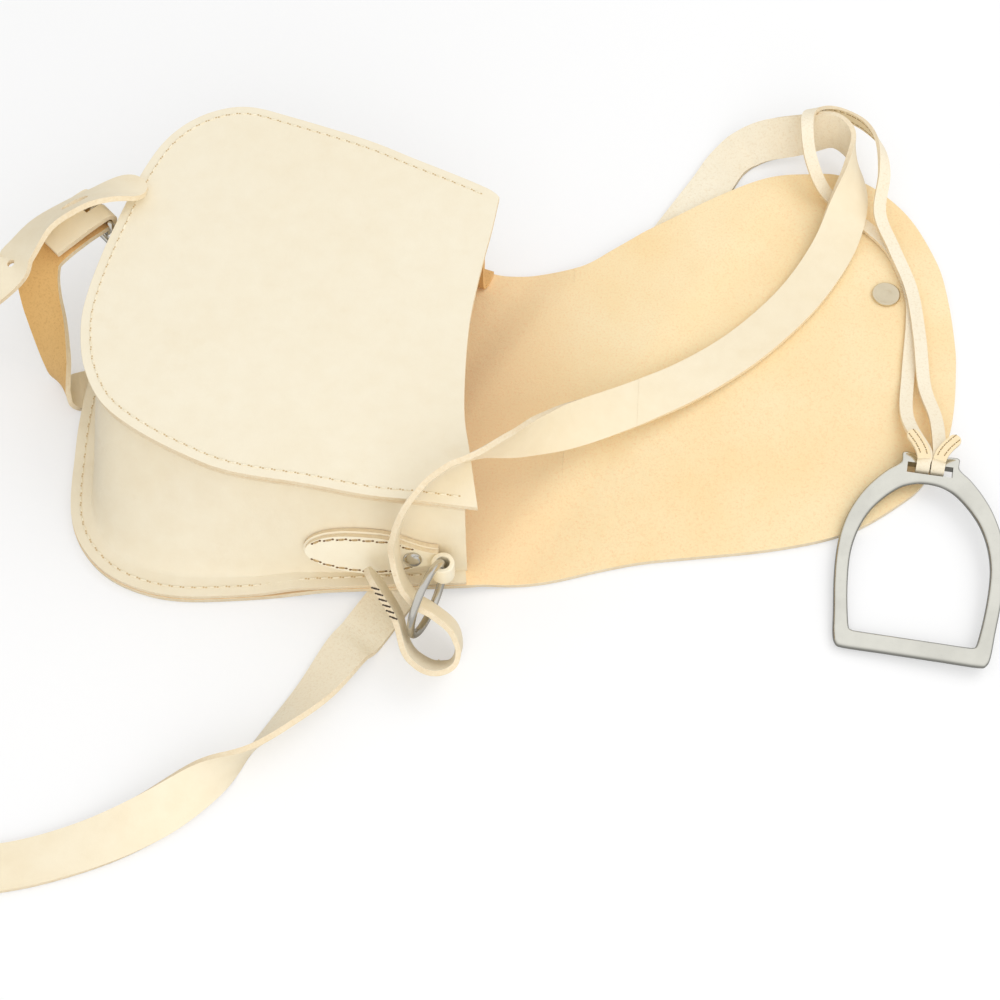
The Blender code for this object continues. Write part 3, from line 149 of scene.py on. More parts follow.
# Buckle
BUCKLE_WIDTH = 0.030
BUCKLE_LENGTH = 0.019
BUCKLE_WIRE = 0.0016
BUCKLE_CORNER_RADIUS = 0.004
TONGUE_WIRE = 0.0011
TONGUE_EYE = BUCKLE_WIRE + CLEARANCE + TONGUE_WIRE
TONGUE_START = math.radians(230)
TONGUE_SWEEP = math.radians(250)
BAR_GAP = BUCKLE_WIRE + CLEARANCE + STRAP_THICKNESS / 2
BUCKLE_YAW = math.radians(46)
BUCKLE_DROP = 0.005

# Levels at which flat leather lies
FLOOR_LEVEL = STRAP_THICKNESS / 2
FLAP_LEVEL = PANEL_THICKNESS + CLEARANCE + STRAP_THICKNESS / 2
BAND_LEVEL = PANEL_THICKNESS + CLEARANCE + BAND_THICKNESS / 2
TOP_LEVEL = BODY_DEPTH + CLEARANCE + STRAP_THICKNESS / 2

# Outlines, in shares of the body's length and width
FRONT_SIDE_SHARES = [
    (0.485, -0.460), (0.350, -0.450), (0.245, -0.445), (0.105, -0.425), (-0.065, -0.405),
    (-0.180, -0.365), (-0.290, -0.310), (-0.375, -0.245), (-0.430, -0.150), (-0.455, -0.040),
    (-0.455, 0.050), (-0.440, 0.165), (-0.415, 0.290), (-0.383, 0.420), (-0.343, 0.515),
    (-0.287, 0.580), (-0.220, 0.618), (-0.150, 0.628), (-0.055, 0.605), (0.140, 0.545),
    (0.260, 0.495), (0.380, 0.445), (0.450, 0.412), (0.472, 0.392),
]
FRONT_MOUTH_SHARES = [
    (0.472, 0.392), (0.462, 0.300), (0.450, 0.215), (0.438, 0.120), (0.430, 0.025),
    (0.430, -0.095), (0.438, -0.225), (0.458, -0.325), (0.485, -0.460),
]
BACK_SIDE_SHARES = [
    (0.4925, -0.502), (0.450, -0.510), (0.300, -0.526), (0.175, -0.540), (0.065, -0.553),
    (-0.050, -0.570), (-0.180, -0.582), (-0.275, -0.570), (-0.360, -0.535), (-0.425, -0.475),
    (-0.465, -0.400), (-0.483, -0.300), (-0.490, -0.165), (-0.490, -0.050), (-0.480, 0.075),
    (-0.460, 0.200), (-0.430, 0.310), (-0.385, 0.410), (-0.315, 0.480), (-0.225, 0.515),
    (-0.125, 0.520), (0.025, 0.500), (0.200, 0.460), (0.350, 0.415), (0.450, 0.380),
    (0.4925, 0.3725),
]

# The gusset runs between these, from the near corner of the mouth round to the far one
GUSSET_END_SHARE = 0.012
GUSSET_SECTIONS = 150

# Bottom flange to top flange: share of the way from rim to front edge, inset in wall insets, the
# same inset where the leather bulges at the mouth's near corner, and height as a share of the depth
WALL_SHARES = [
    (0.06, 1.15, 0.70, 0.105), (0.35, 1.05, 0.55, 0.370), (0.65, 0.92, 0.50, 0.610),
    (0.93, 0.90, 0.70, 0.835),
]
BULGE_START_SHARE = -0.20
BULGE_RUN_SHARE = 0.55

# The bridge's edges, from the fold to the turn: share of the bridge, then of the body's width
BRIDGE_NEAR_SHARES = [(0.0, -0.502), (0.40, -0.483), (0.80, -0.440), (1.0, -0.420)]
BRIDGE_FAR_SHARES = [(0.0, 0.3725), (0.20, 0.378), (0.54, 0.405), (0.78, 0.465), (1.0, 0.525)]

# The flap's outline, from the turn's near end to its far end
FLAP_SHARES = [
    (0.0, -0.420), (0.09, -0.405), (0.35, -0.370), (0.50, -0.343), (0.61, -0.315), (0.70, -0.280),
    (0.81, -0.215), (0.88, -0.160), (0.955, -0.050), (0.985, 0.050), (0.998, 0.160),
    (1.0, 0.240), (0.985, 0.370), (0.955, 0.490), (0.875, 0.625), (0.765, 0.715), (0.665, 0.750),
    (0.575, 0.755), (0.400, 0.720), (0.245, 0.655), (0.085, 0.570), (0.0, 0.525),
]
FLAP_MAGNET_SHARES = (0.785, 0.375)

# Where the strap runs under the leather: share of length, share of width
UNDER_FLAP_SHARES = (1.050, 0.792)
UNDER_BAG_SHARES = (0.235, -0.640)

# Straight runs are laid in this many steps
UNDER_STEPS = 14

# Where the buckle strap runs under the bag
BUCKLE_IN_SHARES = (0.140, 0.515)
BUCKLE_OUT_SHARES = (-0.4525, -0.003)


def along_body(share):
    """X from a share of the body's length. Shares past the fold lines keep to the bridge and flap."""
    if share <= FOLD_SHARE:
        return share * BODY_LENGTH
    if share <= TURN_SHARE:
        return FOLD_X + (share - FOLD_SHARE) / (TURN_SHARE - FOLD_SHARE) * BRIDGE_LENGTH
    return TURN_X + (share - TURN_SHARE) / FLAP_SHARE * FLAP_LENGTH


def at(x_share, y_share, z):
    """A place from shares of length and width."""
    return Vector((along_body(x_share), y_share * BODY_WIDTH, z))


def smooth_path(points, per_span):
    """Rows of numbers along a smooth curve through the given rows, ends included."""
    rows = [points[0]] + list(points) + [points[-1]]
    path = []
    for index in range(len(points) - 1):
        before, start, end, after = rows[index:index + 4]
        for step in range(per_span):
            t = step / per_span
            path.append([
                0.5 * (2 * s + (e - b) * t + (2 * b - 5 * s + 4 * e - a) * t ** 2
                       + (3 * s - b - 3 * e + a) * t ** 3)
                for b, s, e, a in zip(before, start, end, after)
            ])
    path.append(list(points[-1]))
    return path


def around(count):
    """The angles of a full turn in even steps."""
    return [2 * math.pi * k / count for k in range(count)]


def circle(centre, across, other, radius, count):
    """Places round a centre, in the plane of two directions."""
    return [centre + (across * math.cos(a) + other * math.sin(a)) * radius for a in around(count)]


def heading(places, index):
    """From the place before one in a list to the place after it, as far as the list goes."""
    return places[min(index + 1, len(places) - 1)] - places[max(index - 1, 0)]


def inward(path, index):
    """The direction in plan to the inner side of a path."""
    along = heading(path, index)
    return Vector((along.y, -along.x)).normalized()


def reach_along(places):
    """The distance covered along a path at each of its places."""
    reach = [0.0]
    for first, second in zip(places, places[1:]):
        reach.append(reach[-1] + (second - first).length)
    return reach


def spots(reach, targets):
    """For rising distances along a path: the place before each, and the share of the way on."""
    index = 0
    for target in targets:
        while index < len(reach) - 2 and reach[index + 1] < target:
            index += 1
        yield index, (target - reach[index]) / (reach[index + 1] - reach[index])


def join_rings(bm, rings, closed=False):
    """Faces between neighbouring rings of vertices. A ring of one vertex is a pole."""
    faces = []
    for lower, upper in zip(rings, rings[1:] + (rings[:1] if closed else [])):
        count = max(len(lower), len(upper))
        for k in range(count):
            after = (k + 1) % count
            corners = [lower[k % len(lower)], lower[after % len(lower)],
                       upper[after % len(upper)], upper[k % len(upper)]]
            faces.append(bm.faces.new(list(dict.fromkeys(corners))))
    return faces


def even_path(path, count):
    """The same path as count + 1 evenly spaced points."""
    places = [Vector(place) for place in path]
    reach = reach_along(places)
    targets = [reach[-1] * step / count for step in range(count + 1)]
    return [places[index].lerp(places[index + 1], t) for index, t in spots(reach, targets)]


def frame_matrix(origin, along, up):
    """A place with its X axis along one direction and its Z axis near another."""
    x_axis = along.normalized()
    y_axis = up.cross(x_axis).normalized()
    z_axis = x_axis.cross(y_axis)
    matrix = Matrix((x_axis, y_axis, z_axis)).transposed().to_4x4()
    matrix.translation = origin
    return matrix


def turned(profile, matrix, segments=24):
    """A solid turned round local Z from (radius, height) pairs that start and end on the axis."""
    bm = bmesh.new()
    rings = [[bm.verts.new((radius * math.cos(a), radius * math.sin(a), height))
              for a in (around(segments) if radius else [0])]
             for radius, height in profile]
    join_rings(bm, rings)
    bm.transform(matrix)
    return bm


def tube(points, radius, sides, closed):
    """A round bar along points. A closed one joins its ends."""
    bm = bmesh.new()
    count = len(points)
    rings = []
    across = None
    for index, point in enumerate(points):
        before = points[index - 1] if closed or index else point
        after = points[(index + 1) % count] if closed or index < count - 1 else point
        along = (after - before).normalized()
        if across is None:
            across = along.orthogonal().normalized()
        across = (across - along * across.dot(along)).normalized()
        ring = circle(point, across, along.cross(across), radius, sides)
        rings.append([bm.verts.new(place) for place in ring])
    if not closed:
        bm.faces.new(rings[0])
        bm.faces.new(rings[-1])
    join_rings(bm, rings, closed)
    return bm


def strap_sections(route, per_span, width, thickness):
    """Sections (place, width direction, heading) along a flat strap that never dips below z = 0."""
    rows = [[*place, *Vector(wide).normalized()] for place, wide in route]
    path = smooth_path(rows, per_span)
    places = [Vector(row[:3]) for row in path]
    sections = []
    for index, row in enumerate(path):
        along = heading(places, index).normalized()
        wide = Vector(row[3:])
        wide = (wide - along * wide.dot(along)).normalized()
        normal = along.cross(wide)
        place = places[index].copy()
        lowest = (abs(wide.z) * width + abs(normal.z) * thickness) / 2
        place.z = max(place.z, lowest)
        sections.append((place, wide, along))
    return sections


def distance_to_run(x, y, start, end):
    """Distance in plan from a place to the straight run between two places."""
    place, first, last = Vector((x, y)), start.to_2d(), end.to_2d()
    run = last - first
    t = min(max((place - first).dot(run) / run.length_squared, 0), 1)
    return (place - first - run * t).length


def eased(value):
    """A value between 0 and 1, slow at both ends."""
    value = min(max(value, 0), 1)
    return value * value * (3 - 2 * value)


def flap_magnet_place():
    """The disc's place in plan."""
    x_share, y_share = FLAP_MAGNET_SHARES
    return Vector((TURN_X + x_share * FLAP_LENGTH, y_share * FLAP_WIDTH, 0))


def leather_lift(x, y):
    """How far the leather is raised over the straps and the rivet cap that lie under it."""
    over = STRAP_THICKNESS + CLEARANCE
    runs = [
        (at(*UNDER_FLAP_SHARES, 0), at(*UNDER_BAG_SHARES, 0)),
        (at(*BUCKLE_IN_SHARES, 0), at(*BUCKLE_OUT_SHARES, 0)),
    ]
    heights = [
        over * eased(1 - (distance_to_run(x, y, start, end) - LIFT_HALF_WIDTH) / LIFT_FLANK)
        for start, end in runs
    ]
    from_magnet = (Vector((x, y)) - flap_magnet_place().to_2d()).length
    heights.append((MAGNET_CAP_HEIGHT + CLEARANCE)
                   * eased(1 - (from_magnet - CAP_LIFT_RADIUS) / LIFT_FLANK))
    return max(heights)


def lift_near(x, y):
    """The greatest lift within half a cell of a place, for what lies on the leather."""
    half = SHEET_CELL / 2
    return max(leather_lift(x + i * half, y + j * half) for i in (-1, 0, 1) for j in (-1, 0, 1))


def side_path(shares, count):
    """An even path in plan through shares of the body's size."""
    points = [(x * BODY_LENGTH, y * BODY_WIDTH) for x, y in shares]
    return even_path(smooth_path(points, 6), count)


def wall_rows():
    """The gusset's mid surface: rows round the bag, each from the bottom flange to the top one."""
    sides = []
    for shares in (BACK_SIDE_SHARES, FRONT_SIDE_SHARES):
        path = side_path(shares, GUSSET_SECTIONS * 4)
        first = round(GUSSET_END_SHARE * len(path))
        sides.append(even_path(path[first:len(path) - first], GUSSET_SECTIONS))
    bottom = PANEL_THICKNESS + CLEARANCE + GUSSET_THICKNESS / 2
    top = UPRIGHT * (BODY_DEPTH - PANEL_THICKNESS - CLEARANCE - GUSSET_THICKNESS / 2)
    rows = []
    for index, (low, high) in enumerate(zip(*sides)):
        insides = [inward(path, index) for path in sides]
        inside = (insides[0] + insides[1]).normalized()
        lift = lift_near(low.x, low.y)
        row = [(low + insides[0] * inset).to_3d() + UPRIGHT * (bottom + lift)
               for inset in (CLEARANCE, FLANGE_WIDTH)]
        bulge = eased((low.x / BODY_LENGTH - BULGE_START_SHARE) / BULGE_RUN_SHARE)
        if low.y > 0:
            bulge = 0
        for share, plain, bulged, height in WALL_SHARES:
            inset = plain + (bulged - plain) * bulge
            place = low.lerp(high, share) + inside * inset * WALL_INSET
            row.append(place.to_3d() + UPRIGHT * (height * BODY_DEPTH + lift * (1 - share)))
        row += [(high + insides[1] * inset).to_3d() + top
                for inset in (FLANGE_WIDTH - FLANGE_BEND / 2, CLEARANCE)]
        rows.append(row)
    return rows


def wall_place(rows, side, x, height):
    """A place on the gusset's outer face near the mouth, with its outward and upward directions."""
    ordered = rows if side < 0 else rows[::-1]
    for first, second in zip(ordered, ordered[1:]):
        if second[2].x <= x <= first[2].x:
            break
    t = (first[2].x - x) / (first[2].x - second[2].x)
    column = [a.lerp(b, t) for a, b in zip(first, second)]
    for low, high in zip(column[2:], column[3:]):
        if height <= high.z:
            break
    share = (height - low.z) / (high.z - low.z)
    place = low.lerp(high, share)
    up = (column[5] - column[2]).normalized()
    along = (first[3] - second[3]).normalized()
    outward = (along.cross(up) * side * -1).normalized()
    return place + outward * GUSSET_THICKNESS / 2, outward, up


def eye_place(rows, side):
    """The middle of the tab's eye."""
    place, _, _ = wall_place(rows, side, EYE_X, TAB_CENTRE_HEIGHT)
    return Vector((EYE_X, place.y + side * (EYE_RADIUS + EYE_STAND), TAB_CENTRE_HEIGHT))


def rod(radius, half, matrix, segments=24):
    """A closed round rod about local Z."""
    return turned([(0, -half), (radius, -half), (radius, half), (0, half)], matrix, segments)


def ring_turn(side):
    """How a ring is turned about its eye from standing straight out."""
    return Matrix.Rotation(NEAR_RING_YAW if side < 0 else FAR_RING_YAW, 3, "Z")


def dome(seat, steps):
    """The rivet cap's outline above its seat, as (radius, height) pairs."""
    wall = RIVET_WALL_SHARE * RIVET_CAP_HEIGHT
    rise = RIVET_CAP_HEIGHT - wall
    angles = [math.pi / 2 * k / steps for k in range(steps)]
    curve = [(RIVET_CAP_RADIUS * math.cos(a), seat + wall + rise * math.sin(a)) for a in angles]
    return [(RIVET_CAP_RADIUS, seat)] + curve + [(0, seat + RIVET_CAP_HEIGHT)]


# The strap's end round the near ring, in ring radii from the ring's eye before the ring's turn
NEAR_LOOP_SHARES = [
    (-1.759, -0.944, 0.286), (-1.166, -1.286, 0.048), (-0.58, -1.643, -0.31),
    (-0.06, -2.201, -0.667), (0.431, -2.402, -0.786), (0.905, -2.382, -0.786),
    (1.209, -2.068, -0.756), (1.182, -1.647, -0.637), (0.853, -1.299, -0.429),
    (0.227, -1.146, -0.25), (-0.247, -1.167, 0.018), (-0.669, -1.016, 0.345),
    (-0.962, -0.768, 0.881),
]

# The strap from the ring's end over the corner of the bag and down on the flap
CORNER_SHARES = [
    (0.309, -0.5225, 0.800), (0.319, -0.511, 1.005), (0.335, -0.4925, 1.145), (0.354, -0.471, 1.210),
    (0.380, -0.436, 1.222), (0.418, -0.397, 1.212), (0.465, -0.3655, 1.200),
]
LEAN = (0.0, -0.62, 0.785)
EDGE_ON = (0.04, -0.52, 0.85)
CORNER_WIDE = [LEAN, LEAN, LEAN, EDGE_ON, EDGE_ON, EDGE_ON, EDGE_ON]
DESCENT_SHARES = [
    (0.5185, -0.308, 0.995), (0.595, -0.220, 0.68), (0.660, -0.160, 0.495), (0.730, -0.100, 0.34),
    (0.830, -0.020, 0.18), (0.955, 0.075, 0.07),
]
DESCENT_WIDE = [(-0.04, -0.38, 0.90), (-0.22, -0.05, 0.95), (-0.42, 0.32, 0.82), (-0.54, 0.58, 0.58),
                (-0.60, 0.74, 0.30), (-0.64, 0.76, 0.10)]
OVER_FLAP_SHARES = [
    (1.085, 0.190, 0.02), (1.210, 0.335, 0.02), (1.295, 0.480, 0.04), (1.335, 0.600, 0.10),
]
OVER_FLAP_WIDE = [(-0.68, 0.73, 0.0), (-0.76, 0.64, 0.0), (-0.86, 0.48, 0.10), (-0.90, 0.22, 0.38)]
HAIRPIN_SHARES = [
    (1.352, 0.700, 0.20), (1.345, 0.785, 0.24), (1.300, 0.835, 0.24), (1.225, 0.838, 0.15),
    (1.120, 0.830, 0.050),
]
HAIRPIN_WIDE = [(-0.55, 0.02, 0.85), (-0.10, 0.05, 0.99), (0.0, 0.15, 0.99), (-0.15, 0.45, 0.85),
                (-0.35, 0.80, 0.45)]
OUTSIDE_SHARES = [
    (0.205, -0.685, 0.020), (0.155, -0.785, 0.078), (0.100, -0.865, 0.110), (0.030, -0.950, 0.150),
    (-0.065, -1.030, 0.110), (-0.170, -1.110, 0.050), (-0.305, -1.180, 0.010), (-0.470, -1.235, 0.0),
    (-0.660, -1.255, 0.0), (-0.850, -1.205, 0.0), (-1.010, -1.090, 0.01), (-1.110, -0.920, 0.06),
    (-1.140, -0.700, 0.17), (-1.100, -0.480, 0.34), (-1.000, -0.270, 0.54), (-0.850, -0.085, 0.76),
    (-0.665, 0.085, 0.95),
]
OUTSIDE_WIDE = [
    (-0.83, 0.50, -0.20), (-0.72, 0.48, -0.50), (-0.52, 0.42, -0.75), (-0.22, 0.22, -0.95),
    (0.35, -0.45, -0.80), (0.50, -0.75, -0.42), (0.38, -0.92, -0.10), (0.15, -0.99, 0.0),
    (-0.08, -0.99, 0.0), (-0.40, -0.92, 0.0), (-0.72, -0.68, 0.05), (-0.95, -0.30, 0.10),
    (-0.98, 0.05, 0.20), (-0.93, 0.30, 0.20), (-0.85, 0.50, 0.18), (-0.72, 0.68, 0.12),
    (-0.66, 0.74, 0.05),
]
HOLED_END_SHARES = [
    (-0.63, 0.1375, 0.0133), (-0.5875, 0.2115, 0.06), (-0.515, 0.2685, 0.105),
    (-0.46, 0.3035, 0.1), (-0.41, 0.335, 0.0567), (-0.3675, 0.359, 0.02),
]
HOLED_END_WIDE = [
    (-0.62, 0.72, -0.3), (-0.62, 0.56, -0.55), (-0.48, 0.64, -0.6), (-0.45, 0.72, -0.53),
    (-0.45, 0.83, -0.32), (-0.42, 0.9, -0.1),
]
HOLE_SHARES = (-0.645, 0.112)

# The short strap's end round the far ring, likewise, then its way down to the floor
FAR_LOOP_SHARES = [
    (-0.45, 1.371, 0.12), (-0.203, 1.4, 0.06), (0.12, 1.48, 0.0), (0.45, 1.88, -0.08),
    (0.32, 2.28, -0.22), (0.08, 2.63, -0.36),
]
DROP_SHARES = [
    (0.2125, 0.548, 0.1917), (0.1775, 0.539, 0.0983),
]
DROP_WIDE = [(0.12, -0.45, 0.88), (0.38, -0.80, 0.46)]

# The short strap's way up from the floor to the buckle
RISE_SHARES = [
    (-0.4865, -0.028, 0.0), (-0.513, -0.0385, 0.0), (-0.532, -0.043, 0.0283),
    (-0.546, -0.039, 0.0883), (-0.555, -0.024, 0.16), (-0.562, 0.0015, 0.2417),
    (-0.5725, 0.034, 0.3367), (-0.585, 0.071, 0.4483), (-0.599, 0.109, 0.57),
    (-0.606, 0.1475, 0.6917), (-0.596, 0.184, 0.7917), (-0.5625, 0.215, 0.8483),
]
RISE_WIDE = [
    (0.5, -0.87, 0.0), (0.38, -0.92, 0.0), (0.4, -0.89, 0.14), (0.5, -0.76, 0.4),
    (0.62, -0.54, 0.56), (0.71, -0.3, 0.62), (0.78, -0.12, 0.6), (0.84, 0.0, 0.5),
    (0.9, 0.04, 0.4), (0.95, 0.0, 0.25), (0.9, -0.3, 0.08), (0.8, -0.6, 0.0),
]
BUCKLE_SHARES = (-0.485, 0.305)

# Its fold round the buckle's bar, in steps of the bar's gap: towards the tip, up
FOLD_STEPS = [(-4.0, -1.05), (-1.5, -1.05), (0.0, -1.05), (0.74, -0.74), (1.05, 0.0), (0.74, 0.74),
              (0.0, 1.05), (-3.0, 0.95), (-6.0, 0.60), (-9.2, 0.25)]


def route(shares, wides, level):
    """Places and width directions from shares of length, width and depth above a level."""
    return [(at(x, y, level + z * BODY_DEPTH), Vector(wide))
            for (x, y, z), wide in zip(shares, wides)]


def route_on_flap(shares, wides, level):
    """A route whose level follows the flap's folds."""
    return [(place + UPRIGHT * lift_near(place.x, place.y), wide)
            for place, wide in route(shares, wides, level)]


def under_run(start_shares, end_shares, steps, grain_up):
    """A straight run on the floor between two places."""
    start, end = at(*start_shares, FLOOR_LEVEL), at(*end_shares, FLOOR_LEVEL)
    along = (end - start).normalized()
    wide = UPRIGHT.cross(along) * (1 if grain_up else -1)
    return [(start.lerp(end, step / steps), wide) for step in range(steps + 1)]


def near_loop(rows):
    """The long strap's end, round the near ring."""
    eye, turn = eye_place(rows, -1), ring_turn(-1)
    return [(eye + turn @ Vector(place) * RING_RADIUS, Vector(LEAN)) for place in NEAR_LOOP_SHARES]


def far_loop(rows):
    """The short strap's end, standing upright round the far ring."""
    eye, turn = eye_place(rows, 1), ring_turn(1)
    return [(eye + turn @ Vector(place) * RING_RADIUS, UPRIGHT) for place in FAR_LOOP_SHARES]


def long_strap_parts(rows):
    """The long strap's route in parts, from its end at the near ring to its holed end."""
    return [
        near_loop(rows),
        route(CORNER_SHARES, CORNER_WIDE, 0),
        route(DESCENT_SHARES, DESCENT_WIDE, FLAP_LEVEL),
        route_on_flap(OVER_FLAP_SHARES, OVER_FLAP_WIDE, FLAP_LEVEL),
        route(HAIRPIN_SHARES, HAIRPIN_WIDE, FLAP_LEVEL),
        under_run(UNDER_FLAP_SHARES, UNDER_BAG_SHARES, UNDER_STEPS, False),
        route(OUTSIDE_SHARES, OUTSIDE_WIDE, FLOOR_LEVEL),
        route(HOLED_END_SHARES, HOLED_END_WIDE, TOP_LEVEL),
    ]


def long_strap_sections(rows):
    """The long strap's sections, and the number of the first one in each part of its route."""
    parts = long_strap_parts(rows)
    whole = [pair for part in parts for pair in part]
    first = [sum(len(part) for part in parts[:index]) * STRAP_STEPS for index in range(len(parts))]
    return strap_sections(whole, STRAP_STEPS, *STRAP_SIZE), first


def slot_matrix():
    """The long slot through the strap's holed end, as a stretched round one."""
    (start, _), (place, wide), (end, _) = route(HOLED_END_SHARES, HOLED_END_WIDE, TOP_LEVEL)[1:4]
    along = end - start
    stretch = Matrix.Diagonal((STRAP_SLOT_LENGTH / STRAP_SLOT_WIDTH, 1, 1, 1))
    return frame_matrix(place, along, along.cross(wide)) @ stretch


def buckle_matrix():
    """The buckle's heel bar: its origin on the bar, X towards the strap's tip, Y along the bar."""
    place = at(*BUCKLE_SHARES, BODY_DEPTH - BUCKLE_DROP)
    along = Vector((math.cos(BUCKLE_YAW), math.sin(BUCKLE_YAW), 0))
    return frame_matrix(place, along, UPRIGHT)


def buckle_frame_points(matrix, steps):
    """The frame's bar, hanging from its heel at the matrix's origin, each corner in steps."""
    radius = BUCKLE_CORNER_RADIUS
    low = BUCKLE_WIRE + radius - BUCKLE_WIDTH / 2
    corners = [(radius, -low, 90), (radius, low, 180), (BUCKLE_LENGTH - radius, low, 270),
               (BUCKLE_LENGTH - radius, -low, 360)]
    points = []
    for drop, y, start in corners:
        for step in range(steps + 1):
            angle = math.radians(start + 90 * step / steps)
            points.append(matrix @ Vector((0, y + radius * math.sin(angle),
                                           -drop - radius * math.cos(angle))))
    return points


def tongue_points(matrix, steps):
    """The tongue: a curl round the heel bar, then straight down past the frame's foot."""
    angles = [TONGUE_START - TONGUE_SWEEP * k / steps for k in range(steps + 1)]
    places = [(TONGUE_EYE * math.cos(a), TONGUE_EYE * math.sin(a)) for a in angles]
    places += [(TONGUE_EYE, -TONGUE_EYE), (TONGUE_EYE, -BUCKLE_LENGTH / 2),
               (TONGUE_EYE, -BUCKLE_LENGTH - BUCKLE_WIRE)]
    return [matrix @ Vector((x, 0, z)) for x, z in places]


def short_strap_sections(rows, matrix):
    """The short strap's sections from the far ring to the buckle, and the last one at the ring."""
    across_bar = matrix.to_3x3() @ Vector((0, -1, 0))
    fold = [(matrix @ Vector((x * BAR_GAP, 0, z * BAR_GAP)), across_bar) for x, z in FOLD_STEPS]
    loop = far_loop(rows)
    whole = (loop + route(DROP_SHARES, DROP_WIDE, FLOOR_LEVEL)
             + under_run(BUCKLE_IN_SHARES, BUCKLE_OUT_SHARES, UNDER_STEPS, True)
             + route(RISE_SHARES, RISE_WIDE, FLOOR_LEVEL) + fold)
    last = (len(loop) - 1) * STRAP_STEPS
    return strap_sections(whole, STRAP_STEPS, *STRAP_SIZE), last


def tongue_slot(matrix):
    """The room that the tongue takes in the strap's fold."""
    slot = bmesh.new()
    size = Matrix.Diagonal((2 * (BAR_GAP + STRAP_THICKNESS), 2 * TONGUE_WIRE + 4 * CLEARANCE,
                            BUCKLE_LENGTH, 1))
    bmesh.ops.create_cube(slot, size=1.0, matrix=matrix @ size)
    return slot


# The stirrup's right half from top to foot, in shares of its width and height: outside, inside
STIRRUP_PAIR_SHARES = [
    ((0.0, 1.0), (0.0, 0.851)), ((0.092, 1.0), (0.053, 0.848)), ((0.171, 1.0), (0.105, 0.837)),
    ((0.178, 0.947), (0.158, 0.817)), ((0.250, 0.899), (0.211, 0.784)),
    ((0.329, 0.832), (0.270, 0.736)), ((0.401, 0.750), (0.329, 0.673)),
    ((0.461, 0.644), (0.379, 0.587)), ((0.493, 0.529), (0.408, 0.490)),
    ((0.500, 0.413), (0.414, 0.394)), ((0.491, 0.288), (0.405, 0.279)),
    ((0.474, 0.163), (0.388, 0.173)), ((0.461, 0.058), (0.371, 0.101)),
    ((0.441, 0.014), (0.355, 0.088)), ((0.395, 0.0), (0.316, 0.085)),
    ((0.197, 0.0), (0.158, 0.085)), ((0.0, 0.0), (0.0, 0.085)),
]


def stirrup_matrix():
    """The stirrup's plane: origin at the foot's middle, X across it, Y from foot to slot."""
    turn = (Matrix.Rotation(STIRRUP_YAW, 4, "Z") @ Matrix.Rotation(STIRRUP_PITCH, 4, "X")
            @ Matrix.Rotation(-STIRRUP_ROLL, 4, "Y"))
    foot = at(*STIRRUP_TOP_SHARES, 0) - turn @ Vector((0, STIRRUP_HEIGHT, 0))
    lowest = min((turn @ Vector((-x * STIRRUP_WIDTH, y * STIRRUP_HEIGHT, 0))).z
                 for (x, y), _ in STIRRUP_PAIR_SHARES)
    foot.z = CLEARANCE - lowest
    return Matrix.Translation(foot) @ turn


def stirrup_slot(matrix):
    """The slot for the stirrup's leather."""
    middle = STIRRUP_HEIGHT - STIRRUP_BAR - STIRRUP_SLOT_HEIGHT / 2
    place = Matrix.Translation((0, middle, STIRRUP_THICKNESS / 2))
    size = Matrix.Diagonal((STIRRUP_SLOT_WIDTH, STIRRUP_SLOT_HEIGHT, 3 * STIRRUP_THICKNESS, 1))
    slot = bmesh.new()
    bmesh.ops.create_cube(slot, size=1.0, matrix=matrix @ place @ size)
    return slot


# The stirrup's band from the slot's left side up the flap, round the strap and back
LEFT_BAND_SHARES = [(1.470, 0.010, 0.055), (1.480, 0.145, 0.002), (1.494, 0.295, 0.002),
                    (1.492, 0.380, 0.002), (1.455, 0.500, 0.002), (1.400, 0.575, 0.004),
                    (1.340, 0.628, 0.008)]
LEFT_BAND_WIDE = [(1.0, -0.08, 0.0), (1.0, -0.05, 0.0), (1.0, 0.0, 0.0), (0.98, 0.12, 0.0),
                  (0.92, 0.40, 0.0), (0.78, 0.62, 0.0), (0.66, 0.75, 0.0)]
KEEPER_SHARES = [(1.280, 0.675, 0.10), (1.240, 0.730, 0.28), (1.225, 0.790, 0.43),
                 (1.235, 0.850, 0.40), (1.280, 0.905, 0.24), (1.335, 0.905, 0.18),
                 (1.385, 0.860, 0.22), (1.415, 0.785, 0.29), (1.425, 0.695, 0.27)]
KEEPER_WIDE = [(0.85, 0.50, 0.10), (0.95, 0.30, 0.0), (0.98, 0.15, 0.0), (0.95, -0.05, 0.25),
               (0.55, -0.20, 0.80), (0.10, 0.10, 0.98), (-0.20, 0.25, 0.95), (-0.60, 0.10, 0.78),
               (-0.92, 0.05, 0.35)]
RIGHT_BAND_SHARES = [(1.418, 0.600, 0.13), (1.455, 0.500, 0.050), (1.493, 0.380, 0.042),
                     (1.508, 0.240, 0.042), (1.515, 0.100, 0.050), (1.537, 0.000, 0.080)]
RIGHT_BAND_WIDE = [(-0.96, -0.15, 0.05), (-0.94, -0.25, 0.0), (-1.0, -0.05, 0.0), (-1.0, -0.06, 0.0),
                   (-1.0, -0.08, 0.0), (-1.0, -0.06, 0.0)]

# The band's turn through the slot: share of the slot's height below the bar, and side of the plate
SLOT_TURN_SHARES = [(0.0, -1.0), (0.42, -0.62), (0.55, 0.0), (0.42, 0.62), (0.0, 1.0)]

# Each end's tab from the slot outwards, in shares of the stirrup's width and height
BAND_TAB_SHARES = [(0.045, -0.050), (0.060, -0.010), (0.095, 0.035), (0.150, 0.085)]


